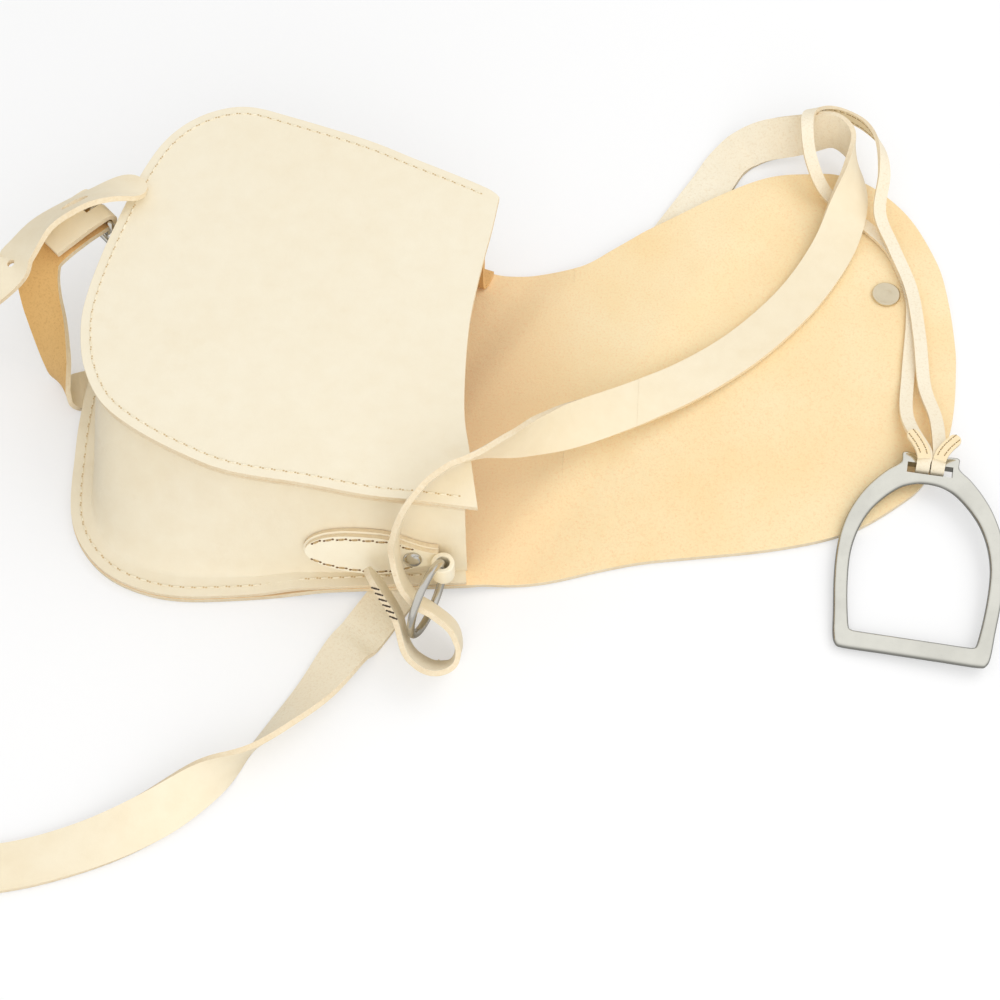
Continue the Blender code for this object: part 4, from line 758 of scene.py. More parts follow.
def band_tab_sections(matrix, sign):
    """The sections of one end's tab, which lies on the band and points up and outwards."""
    level = STIRRUP_THICKNESS + BAND_BAR_CLEARANCE + 1.5 * BAND_THICKNESS - BAND_TAB_SINK
    places = [matrix @ Vector((sign * x * STIRRUP_WIDTH, (1 + y) * STIRRUP_HEIGHT, level))
              for x, y in BAND_TAB_SHARES]
    up = matrix.to_3x3() @ UPRIGHT
    tab_route = [(place, up.cross(heading(places, index))) for index, place in enumerate(places)]
    return strap_sections(tab_route, STRAP_STEPS, BAND_WIDTH, BAND_THICKNESS)


def band_route(matrix):
    """The band's route, from its end on one side of the slot to its end on the other."""
    middle = STIRRUP_THICKNESS / 2
    over = middle + BAND_BAR_CLEARANCE + BAND_THICKNESS / 2
    bar_low = STIRRUP_HEIGHT - STIRRUP_BAR
    turn = [(STIRRUP_HEIGHT + BAND_APPROACH, -1.0), (STIRRUP_HEIGHT, -1.0)]
    turn += [(bar_low - STIRRUP_SLOT_HEIGHT * below, side) for below, side in SLOT_TURN_SHARES]
    turn.append((STIRRUP_HEIGHT, 1.0))
    wide = matrix.to_3x3() @ Vector((1, 0, 0))
    aside = BAND_WIDTH / 2 + CLEARANCE
    ends = {}
    for sign in (-1, 1):
        ends[sign] = [(matrix @ Vector((sign * aside, y, middle + z * over)), wide * -sign)
                      for y, z in turn]
    left = route_on_flap(LEFT_BAND_SHARES, LEFT_BAND_WIDE, BAND_LEVEL)
    keeper = route(KEEPER_SHARES, KEEPER_WIDE, BAND_LEVEL)
    right = route_on_flap(RIGHT_BAND_SHARES, RIGHT_BAND_WIDE, BAND_LEVEL)
    return ends[-1] + left + keeper + right + ends[1][::-1]


# Looks: how finely the pieces are cut, and their details
PANEL_CELLS = 64
FLAP_CORNER_SHARES = (0.27, 0.69)
RIM_ROUNDING = 0.0006
STRAP_ROUNDING = 0.0005
BAND_ROUNDING = 0.0004
ROUNDED_ANGLE = math.radians(50)
SHARP_ANGLE = 35
TIP_BLUNTNESS = 0.04
BAND_TIP_LENGTH = 0.0030
OUTER_LEAF_INSET = 0.0011
SEAM_CUT_X = 0.1321
FAR_END_X = 0.078

# The magnet disc from its middle up to its rim and back, in shares of its radius and height
DISC_SHARES = [
    (0, 0), (0.97, 0), (1, 0.25), (1, 0.7), (0.95, 0.95), (0.88, 1), (0.80, 0.93), (0.75, 0.80),
    (0.35, 0.78), (0.30, 0.90), (0.12, 0.93), (0, 0.93),
]

# Stitches: sink, ends and holes in radii, a small one's length in pitches
STITCH_PITCH = 0.0052
STITCH_LENGTH = 0.0036
STITCH_RADIUS = 0.00040
STITCH_SIDES = 8
STITCH_SINK = 0.9
STITCH_LEAST_SIZE = 0.02
STITCH_SHARES = [step / 4 - 1 for step in range(9)]
HOLE_HEIGHTS = (-0.6, 0.12)
HOLE_LENGTH = 1.3
HOLE_SIZE = 0.95
SMALL_STITCH_LENGTH = 0.55
SMALL_STITCH_RADIUS = 0.7 * STITCH_RADIUS
SMALL_STITCH_LEVEL = 0.52
SEAM_INSET = 0.0045
RIM_SEAM_INSET = 0.0050
SEAM_POINTS = 400
KEEPER_STITCH_PITCH = 0.0034
BAND_TAB_STITCH_PITCH = 0.0030
TAB_STITCH = (0.0060, 0.0036, 0.0005)
HAND_STITCH = (0.0030, 0.0026, STITCH_RADIUS, 0.9)

# Camera, lamps and surround
CAMERA_PLACE = (0.1357, -0.5068, 0.7881)
CAMERA_TARGET = (0.1039, -0.0529, 0.0)
CAMERA_LENS = 70
SENSOR_WIDTH = 36
LAMPS = [
    ("key", (0.95, 0.60, 1.20), 1.1, 5.5), ("fill", (0.85, -0.45, 1.2), 1.5, 2.2),
    ("front", (0.25, -1.25, 0.65), 1.3, 7.0),
]
LAMP_TARGET = (0.08, 0, 0.02)
WHITE = (1.0, 1.0, 1.0, 1.0)
FLOOR_TONE = (0.58, 0.58, 0.58, 1.0)
FLOOR_GLOW = 0.41
SURROUND_LIGHT = 0.70

# Colours from 0 to 255: the plain leather, its warmer clouds and its deepest marks
GRAIN_TONES = {
    "front": ((249, 240, 217), (247, 236, 210), (232, 212, 174)),
    "gusset": ((246, 236, 212), (242, 229, 199), (222, 196, 152)),
    # The tab's tones are lighter than the leather's own: painted light that makes up for the shade on
    # its upright faces.
    "tab": ((255, 248, 228), (253, 243, 216), (236, 212, 166)),
    "strap": ((250, 239, 213), (244, 228, 194), (222, 196, 150)),
    "band": ((252, 236, 200), (250, 229, 186), (226, 194, 140)),
}
FLAP_TONES = ((254, 234, 190), (252, 225, 174), (246, 190, 130))
# Painted warm bounce light and shade: the flap's colour warms towards the bag's mouth over this span
# of X.
PAINTED_MOUTH_BOUNCE_SPAN = (0.105, 0.150)
PAINTED_MOUTH_BOUNCE_TONE = (255, 226, 178)
FLESH_TONES = {
    "flesh": ("strap_flesh", (238, 196, 130), (230, 184, 116), (190, 138, 74)),
    "pale_flesh": ("pale_flesh", (252, 243, 220), (248, 235, 208), (228, 204, 164)),
    "inside": ("inside_flesh", (238, 196, 136), (228, 182, 116), (188, 136, 74)),
    # Pricks and holes: their darker tones are painted shade of the stitch holes.
    "prick": ("prick_mark_shade", (220, 196, 154), (210, 184, 140), (190, 162, 116)),
    "hole": ("pricked_hole_shade", (140, 106, 66), (120, 88, 52), (92, 64, 36)),
}
EDGE_TONES = ((246, 232, 203), (228, 200, 154))
THREAD_TONES = {
    "thread": ("linen_thread", (249, 240, 216), (238, 224, 192)),
    "tab_thread": ("tab_thread", (206, 178, 130), (170, 140, 94)),
    "dark_thread": ("dark_thread", (70, 52, 36), (44, 32, 22)),
}

# Metals: tone in linear light, roughness, and the strength of painted dark reflections in streaks and
# on the sides
METAL_LOOKS = {
    "metal": ("nickel_plate", (0.60, 0.58, 0.53, 1.0), 0.16),
    "disc": ("disc_plate", (0.72, 0.63, 0.46, 1.0), 0.30),
    "stirrup": ("stirrup_plate", (0.76, 0.75, 0.68, 1.0), 0.14, 0.12, 0.85),
}


def rgb(tone):
    """A colour in linear light from its 0 to 255 values."""
    linear = []
    for value in tone:
        share = value / 255
        linear.append(share / 12.92 if share <= 0.04045 else ((share + 0.055) / 1.055) ** 2.4)
    return (*linear, 1.0)


def fed(tree, made, inputs):
    """A shader node with values or links in its inputs."""
    for key, value in inputs.items():
        if isinstance(value, bpy.types.NodeSocket):
            tree.links.new(value, made.inputs[key])
        else:
            made.inputs[key].default_value = value
    return made


def node(tree, kind, inputs=None, **settings):
    """A shader node with its settings and its inputs."""
    made = tree.nodes.new(kind)
    for key, value in settings.items():
        setattr(made, key, value)
    return fed(tree, made, inputs or {})


def new_material(name):
    """A new material with its node tree, its shader and the object's own coordinates."""
    material = bpy.data.materials.new(name)
    material.use_nodes = True
    tree = material.node_tree
    place = node(tree, "ShaderNodeTexCoord").outputs["Object"]
    return material, tree, tree.nodes["Principled BSDF"], place


def noise(tree, coordinates, scale, detail=3.0, roughness=0.55):
    """Cloudy noise between 0 and 1."""
    return node(tree, "ShaderNodeTexNoise", {
        "Vector": coordinates, "Scale": scale, "Detail": detail, "Roughness": roughness,
    }).outputs["Fac"]


def ramp(tree, factor, low=0.0, high=1.0, start=0.0, end=1.0, **settings):
    """A factor stretched so that low becomes the start and high becomes the end."""
    return node(tree, "ShaderNodeMapRange", {
        "Value": factor, "From Min": low, "From Max": high, "To Min": start, "To Max": end,
    }, **settings).outputs["Result"]


def scaled(tree, factor, share):
    """A factor times a number."""
    return node(tree, "ShaderNodeMath", {0: factor, 1: share}, operation="MULTIPLY").outputs[0]


def mix(tree, factor, first, second):
    """Two colours mixed by a factor."""
    return node(tree, "ShaderNodeMix", {0: factor, 6: first, 7: second}, data_type="RGBA").outputs[2]


def bumped(tree, shader, layers):
    """Bump layers, each a height, its strength and its depth in metres."""
    normal = None
    for height, strength, depth in layers:
        inputs = {"Height": height, "Strength": strength, "Distance": depth}
        if normal is not None:
            inputs["Normal"] = normal
        normal = node(tree, "ShaderNodeBump", inputs).outputs["Normal"]
    tree.links.new(normal, shader.inputs["Normal"])


def grain_leather(name, pale, warm, deep, roughness=0.48):
    """Smooth undyed leather: cloudy colour, pores, fine creases and a few faint marks."""
    material, tree, shader, place = new_material(name)
    clouds = ramp(tree, noise(tree, place, 12.0, 3.0), 0.25, 0.80)
    mottle = ramp(tree, noise(tree, place, 110.0, 5.0), 0.30, 0.70)
    veins = ramp(tree, noise(tree, place, 42.0, 6.0, 0.7), 0.60, 0.72)
    colour = mix(tree, clouds, pale, warm)
    for marks in (mottle, veins):
        colour = mix(tree, scaled(tree, marks, 0.14), colour, deep)
    pores = node(tree, "ShaderNodeTexVoronoi", {"Vector": place, "Scale": 1500.0},
                 feature="SMOOTH_F1").outputs["Distance"]
    creases = noise(tree, place, 420.0, 6.0, 0.65)
    soft = noise(tree, place, 60.0, 3.0)
    bumped(tree, shader, [(soft, 0.25, 0.0012), (creases, 0.22, 0.0004), (pores, 0.16, 0.0002)])
    shine = ramp(tree, mottle, start=roughness - 0.06, end=roughness + 0.10)
    fed(tree, shader, {"Base Color": colour, "Roughness": shine, "Specular IOR Level": 0.35})
    return material


def flesh_leather(name, pale, warm, deep, painted_bounce_span=None, painted_bounce_tone=None):
    """The leather's napped inner side: fibres, specks and, if wanted, a painted warm bounce of light
    and shade towards the mouth.
    """
    material, tree, shader, place = new_material(name)
    clouds = ramp(tree, noise(tree, place, 14.0, 4.0), 0.36, 0.66)
    colour = mix(tree, clouds, pale, warm)
    if painted_bounce_span is not None:
        # Painted warm bounce light and shade: warmer towards the mouth, fading out along X.
        x = node(tree, "ShaderNodeSeparateXYZ", {"Vector": place}).outputs["X"]
        near = ramp(tree, x, *painted_bounce_span, 0.80, 0.0, interpolation_type="SMOOTHSTEP")
        colour = mix(tree, near, colour, painted_bounce_tone)
    specks = ramp(tree, noise(tree, place, 900.0, 5.0, 0.75), 0.50, 0.70)
    colour = mix(tree, scaled(tree, specks, 0.50), colour, deep)
    blotches = ramp(tree, noise(tree, place, 75.0, 5.0), 0.42, 0.72)
    colour = mix(tree, scaled(tree, blotches, 0.25), colour, warm)
    nap = noise(tree, place, 900.0, 6.0, 0.75)
    fibres = noise(tree, place, 220.0, 6.0, 0.7)
    bumped(tree, shader, [(fibres, 0.30, 0.0008), (nap, 0.45, 0.0004)])
    fed(tree, shader, {"Base Color": colour, "Roughness": 0.90, "Specular IOR Level": 0.15,
                       "Sheen Weight": 0.10})
    return material


def cut_edge(name, pale, deep):
    """A trimmed and rubbed edge: pale fibres in thin layers."""
    material, tree, shader, place = new_material(name)
    fibre = ramp(tree, noise(tree, place, 700.0, 5.0, 0.7), 0.35, 0.75)
    bands = ramp(tree, noise(tree, place, 60.0, 3.0), 0.35, 0.75)
    colour = mix(tree, scaled(tree, fibre, 0.55), pale, deep)
    colour = mix(tree, scaled(tree, bands, 0.35), colour, deep)
    bumped(tree, shader, [(fibre, 0.35, 0.0004)])
    fed(tree, shader, {"Base Color": colour, "Roughness": 0.62})
    return material


def plated_metal(name, tone, roughness, painted_reflection_streaks=0.0, painted_dark_sides=0.0):
    """Polished metal with faint brushing, handling marks and, if wanted, painted dark reflections in
    streaks and on its sides.
    """
    material, tree, shader, place = new_material(name)
    # shade is the tone of the handling marks; deep is the tone of the painted dark reflections.
    shade, deep = [tuple(value * share for value in tone[:3]) + (1.0,) for share in (0.86, 0.38)]
    wear = ramp(tree, noise(tree, place, 180.0, 5.0, 0.6), 0.35, 0.75)
    brush = node(tree, "ShaderNodeMapping", {"Vector": place, "Scale": (900.0, 140.0, 900.0)})
    lines = noise(tree, brush.outputs["Vector"], 1.0, 3.0)
    # Painted dark reflections: streaks along the metal.
    bands = ramp(tree, noise(tree, place, 38.0, 4.0, 0.5), 0.48, 0.62)
    colour = mix(tree, scaled(tree, wear, 0.35), tone, shade)
    colour = mix(tree, scaled(tree, bands, painted_reflection_streaks), colour, deep)
    # Painted dark reflections: darker where the surface turns away from up.
    if painted_dark_sides:
        normal = node(tree, "ShaderNodeTexCoord").outputs["Normal"]
        tilt = node(tree, "ShaderNodeSeparateXYZ", {"Vector": normal}).outputs["Z"]
        painted_side_reflection = ramp(tree, tilt, 0.55, 0.94, painted_dark_sides, 0.0, interpolation_type="SMOOTHSTEP")
        colour = mix(tree, painted_side_reflection, colour, deep)
    shine = ramp(tree, wear, start=roughness, end=roughness + 0.12)
    bumped(tree, shader, [(lines, 0.05, 0.0002)])
    fed(tree, shader, {"Base Color": colour, "Roughness": shine, "Metallic": 1.0})
    return material


def thread(name, tone, shade):
    """Waxed thread with a twist."""
    material, tree, shader, place = new_material(name)
    plies = ramp(tree, noise(tree, place, 1400.0, 3.0), 0.40, 0.65)
    bumped(tree, shader, [(plies, 0.4, 0.0002)])
    fed(tree, shader, {"Base Color": mix(tree, plies, tone, shade), "Roughness": 0.55})
    return material


def make_materials():
    """Every material by its short name."""
    m = {key: grain_leather(key + "_grain", *map(rgb, tones)) for key, tones in GRAIN_TONES.items()}
    # The flap's flesh side carries the painted warm bounce light and shade at the mouth.
    m["flap"] = flesh_leather("flap_flesh", *map(rgb, FLAP_TONES), PAINTED_MOUTH_BOUNCE_SPAN, rgb(PAINTED_MOUTH_BOUNCE_TONE))
    for key, (name, *tones) in FLESH_TONES.items():
        m[key] = flesh_leather(name, *map(rgb, tones))
    m["edge"] = cut_edge("cut_edge", *map(rgb, EDGE_TONES))
    for key, (name, *tones) in THREAD_TONES.items():
        m[key] = thread(name, *map(rgb, tones))
    for key, (name, *look) in METAL_LOOKS.items():
        m[key] = plated_metal(name, *look)
    return m


def mesh_of(name, bm):
    """A mesh from a bmesh, which is freed."""
    mesh = bpy.data.meshes.new(name)
    bm.to_mesh(mesh)
    bm.free()
    return mesh


def stand(name, data):
    """A new object in the scene."""
    obj = bpy.data.objects.new(name, data)
    bpy.context.scene.collection.objects.link(obj)
    return obj


def aimed(obj, place, target):
    """The same object at a place, facing another."""
    obj.location = place
    aim = Vector(target) - Vector(place)
    obj.rotation_euler = aim.to_track_quat("-Z", "Y").to_euler()
    return obj


def rounded(obj, width, segments, limit="ANGLE"):
    """Round a piece's sharp edges."""
    bevel = obj.modifiers.new("rounding", "BEVEL")
    bevel.width = width
    bevel.segments = segments
    bevel.limit_method = limit
    bevel.angle_limit = ROUNDED_ANGLE
    bevel.harden_normals = True


def baked(obj):
    """Replace an object's mesh by what its modifiers make of it."""
    graph = bpy.context.evaluated_depsgraph_get()
    mesh = bpy.data.meshes.new_from_object(obj.evaluated_get(graph))
    obj.modifiers.clear()
    obj.data = mesh


def piece(name, bm, materials, covers=(), rounding=0.0, segments=3,
          angle=SHARP_ANGLE, seam_x=None):
    """A shown piece from a closed bmesh, its edges rounded except at a seam across X."""
    bmesh.ops.recalc_face_normals(bm, faces=bm.faces)
    if seam_x is not None:
        weight = bm.edges.layers.float.new("bevel_weight_edge")
        for edge in bm.edges:
            on_seam = all(abs(vert.co.x - seam_x) < rounding for vert in edge.verts)
            edge[weight] = float(edge.calc_face_angle(0) > ROUNDED_ANGLE and not on_seam)
    mesh = mesh_of(name, bm)
    mesh.shade_smooth()
    mesh.set_sharp_from_angle(angle=math.radians(angle))
    for material in materials:
        mesh.materials.append(material)
    obj = stand(name, mesh)
    if rounding:
        rounded(obj, rounding, segments, "ANGLE" if seam_x is None else "WEIGHT")
    if covers:
        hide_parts(*covers)
    return obj


def cut(obj, cutters):
    """Cut closed bmeshes out of a piece, before its rounding."""
    rounding = [(m.width, m.segments) for m in obj.modifiers if m.type == "BEVEL"]
    obj.modifiers.clear()
    made = []
    for bm in cutters:
        bmesh.ops.recalc_face_normals(bm, faces=bm.faces)
        last = len(obj.data.materials) - 1
        for face in bm.faces:
            face.material_index = last
        cutter = stand("cutter", mesh_of("cutter", bm))
        for material in obj.data.materials:
            cutter.data.materials.append(material)
        modifier = obj.modifiers.new("cut", "BOOLEAN")
        modifier.object = cutter
        modifier.operation = "DIFFERENCE"
        made.append(cutter)
    baked(obj)
    for cutter in made:
        bpy.data.objects.remove(cutter)
    obj.data.set_sharp_from_angle(angle=math.radians(SHARP_ANGLE))
    for width, segments in rounding:
        rounded(obj, width, segments)


def closed_skin(upper, lower, slots=(0, 1, 2)):
    """A closed skin from two grids of places: material slots for its upper, lower and rim faces."""
    bm = bmesh.new()
    sides = [[[bm.verts.new(place) for place in row] for row in grid] for grid in (upper, lower)]
    last_row, last = len(upper) - 1, len(upper[0]) - 1
    for side, slot in zip(sides, slots):
        for i in range(last_row):
            for j in range(last):
                face = bm.faces.new((side[i][j], side[i + 1][j], side[i + 1][j + 1], side[i][j + 1]))
                face.material_index = slot
    rims = [(i, j, i, j + 1) for i in (0, last_row) for j in range(last)]
    rims += [(i, j, i + 1, j) for j in (0, last) for i in range(last_row)]
    over, under = sides
    for a, b, c, d in rims:
        face = bm.faces.new((under[a][b], under[c][d], over[c][d], over[a][b]))
        face.material_index = slots[2]
    return bm


def skin(rows, thickness, slots=(0, 1, 2)):
    """A closed skin on both sides of a grid of places."""
    columns = list(zip(*rows))
    upper, lower = [], []
    for i, row in enumerate(rows):
        halves = [heading(columns[j], i).cross(heading(row, j)).normalized() * thickness / 2
                  for j in range(len(row))]
        upper.append([place + half for place, half in zip(row, halves)])
        lower.append([place - half for place, half in zip(row, halves)])
    return closed_skin(upper, lower, slots)


def patch(near, far, left, right, height):
    """Rows of places between four edges in plan: near and far run from the left edge to the right."""
    rows = []
    last_u, last_v = len(near) - 1, len(left) - 1
    for i in range(len(near)):
        u = i / last_u
        row = []
        for j in range(len(left)):
            v = j / last_v
            corners = (near[0] * (1 - u) * (1 - v) + near[-1] * u * (1 - v)
                       + far[0] * (1 - u) * v + far[-1] * u * v)
            place = (near[i] * (1 - v) + far[i] * v + left[j] * (1 - u) + right[j] * u) - corners
            row.append(Vector((place.x, place.y, height(place.x, place.y))))
        rows.append(row)
    return rows


def parted(path, first, second):
    """A path's three parts, parted at two shares of its points."""
    a, b = round(first * (len(path) - 1)), round(second * (len(path) - 1))
    return path[:a + 1], path[a:b + 1], path[b:]


def bridge_edge(shares, start, end):
    """One edge of the bridge in plan between two shares of its length."""
    points = [Vector((FOLD_X + x * BRIDGE_LENGTH, y * BODY_WIDTH)) for x, y in smooth_path(shares, 6)]
    low, high = FOLD_X + start * BRIDGE_LENGTH, FOLD_X + end * BRIDGE_LENGTH
    kept = []
    for first, second in zip(points, points[1:]):
        if first.x < low <= second.x:
            kept.append(first.lerp(second, (low - first.x) / (second.x - first.x)))
        if low < second.x < high:
            kept.append(second)
        if first.x < high <= second.x:
            kept.append(first.lerp(second, (high - first.x) / (second.x - first.x)))
    if start == 0:
        kept.insert(0, points[0])
    return kept


def front_piece(m):
    """The front panel, whose free edge lies at the mouth."""
    path = side_path(FRONT_SIDE_SHARES, PANEL_CELLS * 6)
    near, left, far = parted(path, 1 / 3, 2 / 3)
    mouth = side_path(FRONT_MOUTH_SHARES, PANEL_CELLS)[::-1]
    rows = patch(even_path(near[::-1], PANEL_CELLS), even_path(far, PANEL_CELLS),
                 even_path(left, PANEL_CELLS), mouth,
                 lambda x, y: BODY_DEPTH - PANEL_THICKNESS / 2)
    obj = piece("front_leather", skin(rows, PANEL_THICKNESS), [m["front"], m["inside"], m["edge"]],
                ["front_panel"], RIM_ROUNDING)
    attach(obj, "bag")


def lifted(x, y):
    """The height of the raised leather's middle."""
    return leather_lift(x, y) + PANEL_THICKNESS / 2


def back_piece(m):
    """The back panel and the first half of the bridge."""
    path = side_path(BACK_SIDE_SHARES, PANEL_CELLS * 6)
    near, left, far = parted(path, 1 / 3, 2 / 3)
    cut_share = (SEAM_CUT_X - FOLD_X) / BRIDGE_LENGTH
    near = near[::-1] + bridge_edge(BRIDGE_NEAR_SHARES, 0, cut_share)
    far = far + bridge_edge(BRIDGE_FAR_SHARES, 0, cut_share)
    near, far = even_path(near, PANEL_CELLS + 12), even_path(far, PANEL_CELLS + 12)
    right = even_path([near[-1], far[-1]], PANEL_CELLS)
    rows = patch(near, far, even_path(left, PANEL_CELLS), right, lifted)
    obj = piece("back_leather", skin(rows, PANEL_THICKNESS), [m["flap"], m["gusset"], m["edge"]],
                ["back_panel"], RIM_ROUNDING, seam_x=SEAM_CUT_X)
    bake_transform(obj)


def flap_piece(m):
    """The rest of the bridge and the flap."""
    cut_share = (SEAM_CUT_X - FOLD_X) / BRIDGE_LENGTH
    points = [Vector((TURN_X + x * FLAP_LENGTH, y * FLAP_WIDTH))
              for x, y in smooth_path(FLAP_SHARES, 8)]
    near, right, far = parted(even_path(points, PANEL_CELLS * 6), *FLAP_CORNER_SHARES)
    near = bridge_edge(BRIDGE_NEAR_SHARES, cut_share, 1) + near[1:]
    far = bridge_edge(BRIDGE_FAR_SHARES, cut_share, 1) + far[::-1][1:]
    near, far = even_path(near, PANEL_CELLS), even_path(far, PANEL_CELLS)
    rows = patch(near, far, even_path([near[0], far[0]], PANEL_CELLS),
                 even_path(right, PANEL_CELLS), lifted)
    obj = piece("flap_leather", skin(rows, PANEL_THICKNESS), [m["flap"], m["gusset"], m["edge"]],
                ["flap", "flap_bridge"], RIM_ROUNDING, seam_x=SEAM_CUT_X)
    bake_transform(obj)


def gusset_piece(m, rows):
    """The gusset. Its far end, beside the mouth, has its inner side's look on both sides."""
    fine = [[Vector(place) for place in smooth_path(row, 3)] for row in rows]
    bm = skin(fine, GUSSET_THICKNESS)
    for face in bm.faces:
        centre = face.calc_center_median()
        if centre.x > FAR_END_X and centre.y > 0:
            face.material_index = 0
    obj = piece("gusset_leather", bm, [m["inside"], m["gusset"], m["edge"]],
                ["gusset"], RIM_ROUNDING, 2, 60)
    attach(obj, "bag")


def pricked(bm, place, along, side, normal, radius):
    """The hole that a stitch goes into, as a shallow button sunk in the leather, its dark colour
    painted shade for the hole's depth.
    """
    rings = [circle(place + normal * height * radius, along * HOLE_LENGTH, side, radius * HOLE_SIZE,
                    STITCH_SIDES) for height in HOLE_HEIGHTS]
    rings = [[bm.verts.new(spot) for spot in ring] for ring in rings]
    for face in [bm.faces.new(rings[0]), bm.faces.new(rings[1])] + join_rings(bm, rings):
        face.material_index = 1


def stitches(name, path, normals, body, materials, pitch=STITCH_PITCH, length=STITCH_LENGTH,
             radius=STITCH_RADIUS, slant=0.12):
    """A row of thread stitches lying along a path, with the holes that they go into."""
    bm = bmesh.new()
    reach = reach_along(path)
    count = int(reach[-1] / pitch)
    start = (reach[-1] - count * pitch) / 2 + pitch / 2
    for index, t in spots(reach, [start + k * pitch for k in range(count)]):
        place = path[index].lerp(path[index + 1], t)
        normal = normals[index].normalized()
        along = (path[index + 1] - path[index]).normalized()
        side = normal.cross(along).normalized()
        along = (along + side * slant).normalized()
        side = normal.cross(along).normalized()
        rings = []
        for share in STITCH_SHARES:
            size = radius * math.sqrt(max(1 - abs(share) ** 3, STITCH_LEAST_SIZE))
            sink = radius * STITCH_SINK * share ** 4
            centre = place + along * share * length / 2 - normal * sink
            ring = circle(centre, side, normal, size, STITCH_SIDES)
            rings.append([bm.verts.new(spot) for spot in ring])
        bm.faces.new(rings[0])
        bm.faces.new(rings[-1])
        join_rings(bm, rings)
        for share in (-0.5, 0.5):
            pricked(bm, place + along * share * (length + radius), along, side, normal, radius)
    obj = piece(name, bm, materials)
    if body:
        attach(obj, body)
    return obj


def edge_seams(name, sections, body, materials, inset_share, pitch):
    """Two rows of small stitches along a band's grain side."""
    rows = []
    for side in (-1, 1):
        path, normals = [], []
        for place, wide, along in sections:
            normal = along.cross(wide).normalized()
            path.append(place + wide * side * inset_share * BAND_WIDTH
                        + normal * BAND_THICKNESS * SMALL_STITCH_LEVEL)
            normals.append(normal)
        rows.append(stitches(name + ("_a" if side < 0 else "_b"), path, normals, body, materials,
                             pitch, pitch * SMALL_STITCH_LENGTH, SMALL_STITCH_RADIUS, 0.0))
    return rows


def inset_path(path, inset, height):
    """A path moved to its inner side, at heights given by a function of its place."""
    moved = []
    for index, point in enumerate(path):
        place = point + inward(path, index) * inset
        moved.append(Vector((place.x, place.y, height(place.x, place.y))))
    return moved


def seams(m):
    """The stitched seams of the front panel's edge and of the back panel's rim."""
    # The prick marks are painted shade of the stitch holes.
    thread_skins = (m["thread"], m["prick"])
    sunk = STITCH_RADIUS * 0.2
    rim_top = PANEL_THICKNESS + CLEARANCE + GUSSET_THICKNESS + sunk
    for name, shares, kept, inset, height in (
            ("front_seam", FRONT_SIDE_SHARES, slice(6, -6), SEAM_INSET,
             lambda x, y: BODY_DEPTH + sunk),
            ("rim_seam", BACK_SIDE_SHARES, slice(18, -8), RIM_SEAM_INSET,
             lambda x, y: lift_near(x, y) + rim_top)):
        line = inset_path(side_path(shares, SEAM_POINTS)[kept], inset, height)
        stitches(name, line, [UPRIGHT] * len(line), "bag", thread_skins, slant=0.05)


def tab_rows(rows, side, grow, depth, steps=40, columns=10):
    """A leaf of the tab: its outline grown or shrunk, its middle at a depth from the wall."""
    start = EYE_X - EYE_RADIUS / 2
    length = start - (EYE_X - TAB_LENGTH) + grow
    grid = []
    for step in range(steps + 1):
        share = math.sin(math.pi / 2 * step / steps)
        widening = (TAB_HEIGHT - TAB_NECK) / 2 * eased(share / TAB_SHOULDER_SHARE)
        past = max(share - TAB_SHOULDER_SHARE, 0) / (1 - TAB_SHOULDER_SHARE)
        half = (TAB_NECK / 2 + widening + grow) * math.sqrt(max(1 - past ** 2, TAB_TIP_SHARE ** 2))
        row = []
        for column in range(columns + 1):
            rise = half * (2 * column / columns - 1)
            place, face, _ = wall_place(rows, side, start - share * length, TAB_CENTRE_HEIGHT + rise)
            row.append(place + face * depth)
        grid.append(row)
    return grid


def tab_seams(m, outer_rows, side, prefix):
    """The two rows of stitches along the outer leaf's long edges."""
    middle = [row[len(row) // 2] for row in outer_rows]
    for edge, tag in ((0, "low"), (-1, "high")):
        line, normals = [], []
        for index in range(4, 36):
            row = outer_rows[index]
            across = (row[-1] - row[0]).normalized()
            face = heading(middle, index).normalized().cross(across).normalized() * side
            place = row[edge].lerp(middle[index], 0.16)
            line.append(place + face * (TAB_THICKNESS / 4 + STITCH_RADIUS * 0.3))
            normals.append(face)
        stitches(prefix + "_tab_seam_" + tag, line, normals, "bag", (m["tab_thread"], m["hole"]),
                 *TAB_STITCH)


def tab_piece(m, rows, side, prefix):
    """Two leaves sewn together, the outer one smaller, with the eye that they turn round."""
    leaf = TAB_THICKNESS / 2
    slots = (0, 1, 2) if side > 0 else (1, 0, 2)
    # The tab material is the grain leather lightened with painted light.
    skins = [m["tab"], m["flesh"], m["edge"]]
    under_rows = tab_rows(rows, side, 0.0, TAB_CLEARANCE + leaf / 2)
    under = piece(prefix + "_tab_under", skin(under_rows, leaf, slots), skins, [prefix + "_tab"],
                  RIM_ROUNDING, 2)
    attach(under, "bag")
    outer_rows = tab_rows(rows, side, -OUTER_LEAF_INSET, TAB_CLEARANCE + leaf * 1.5 + CLEARANCE / 3)
    over = piece(prefix + "_tab_over", skin(outer_rows, leaf, slots), skins, (),
                 RIM_ROUNDING, 3)
    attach(over, "bag")
    profile = [(EYE_BORE, -EYE_LENGTH / 2), (EYE_RADIUS, -EYE_LENGTH / 2),
               (EYE_RADIUS, EYE_LENGTH / 2), (EYE_BORE, EYE_LENGTH / 2)]
    barrel = piece(prefix + "_tab_eye", hoop(profile, Matrix.Translation(eye_place(rows, side)), 40),
                   [m["tab"], m["edge"]], (), RIM_ROUNDING, 3)
    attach(barrel, "bag")
    tab_seams(m, outer_rows, side, prefix)


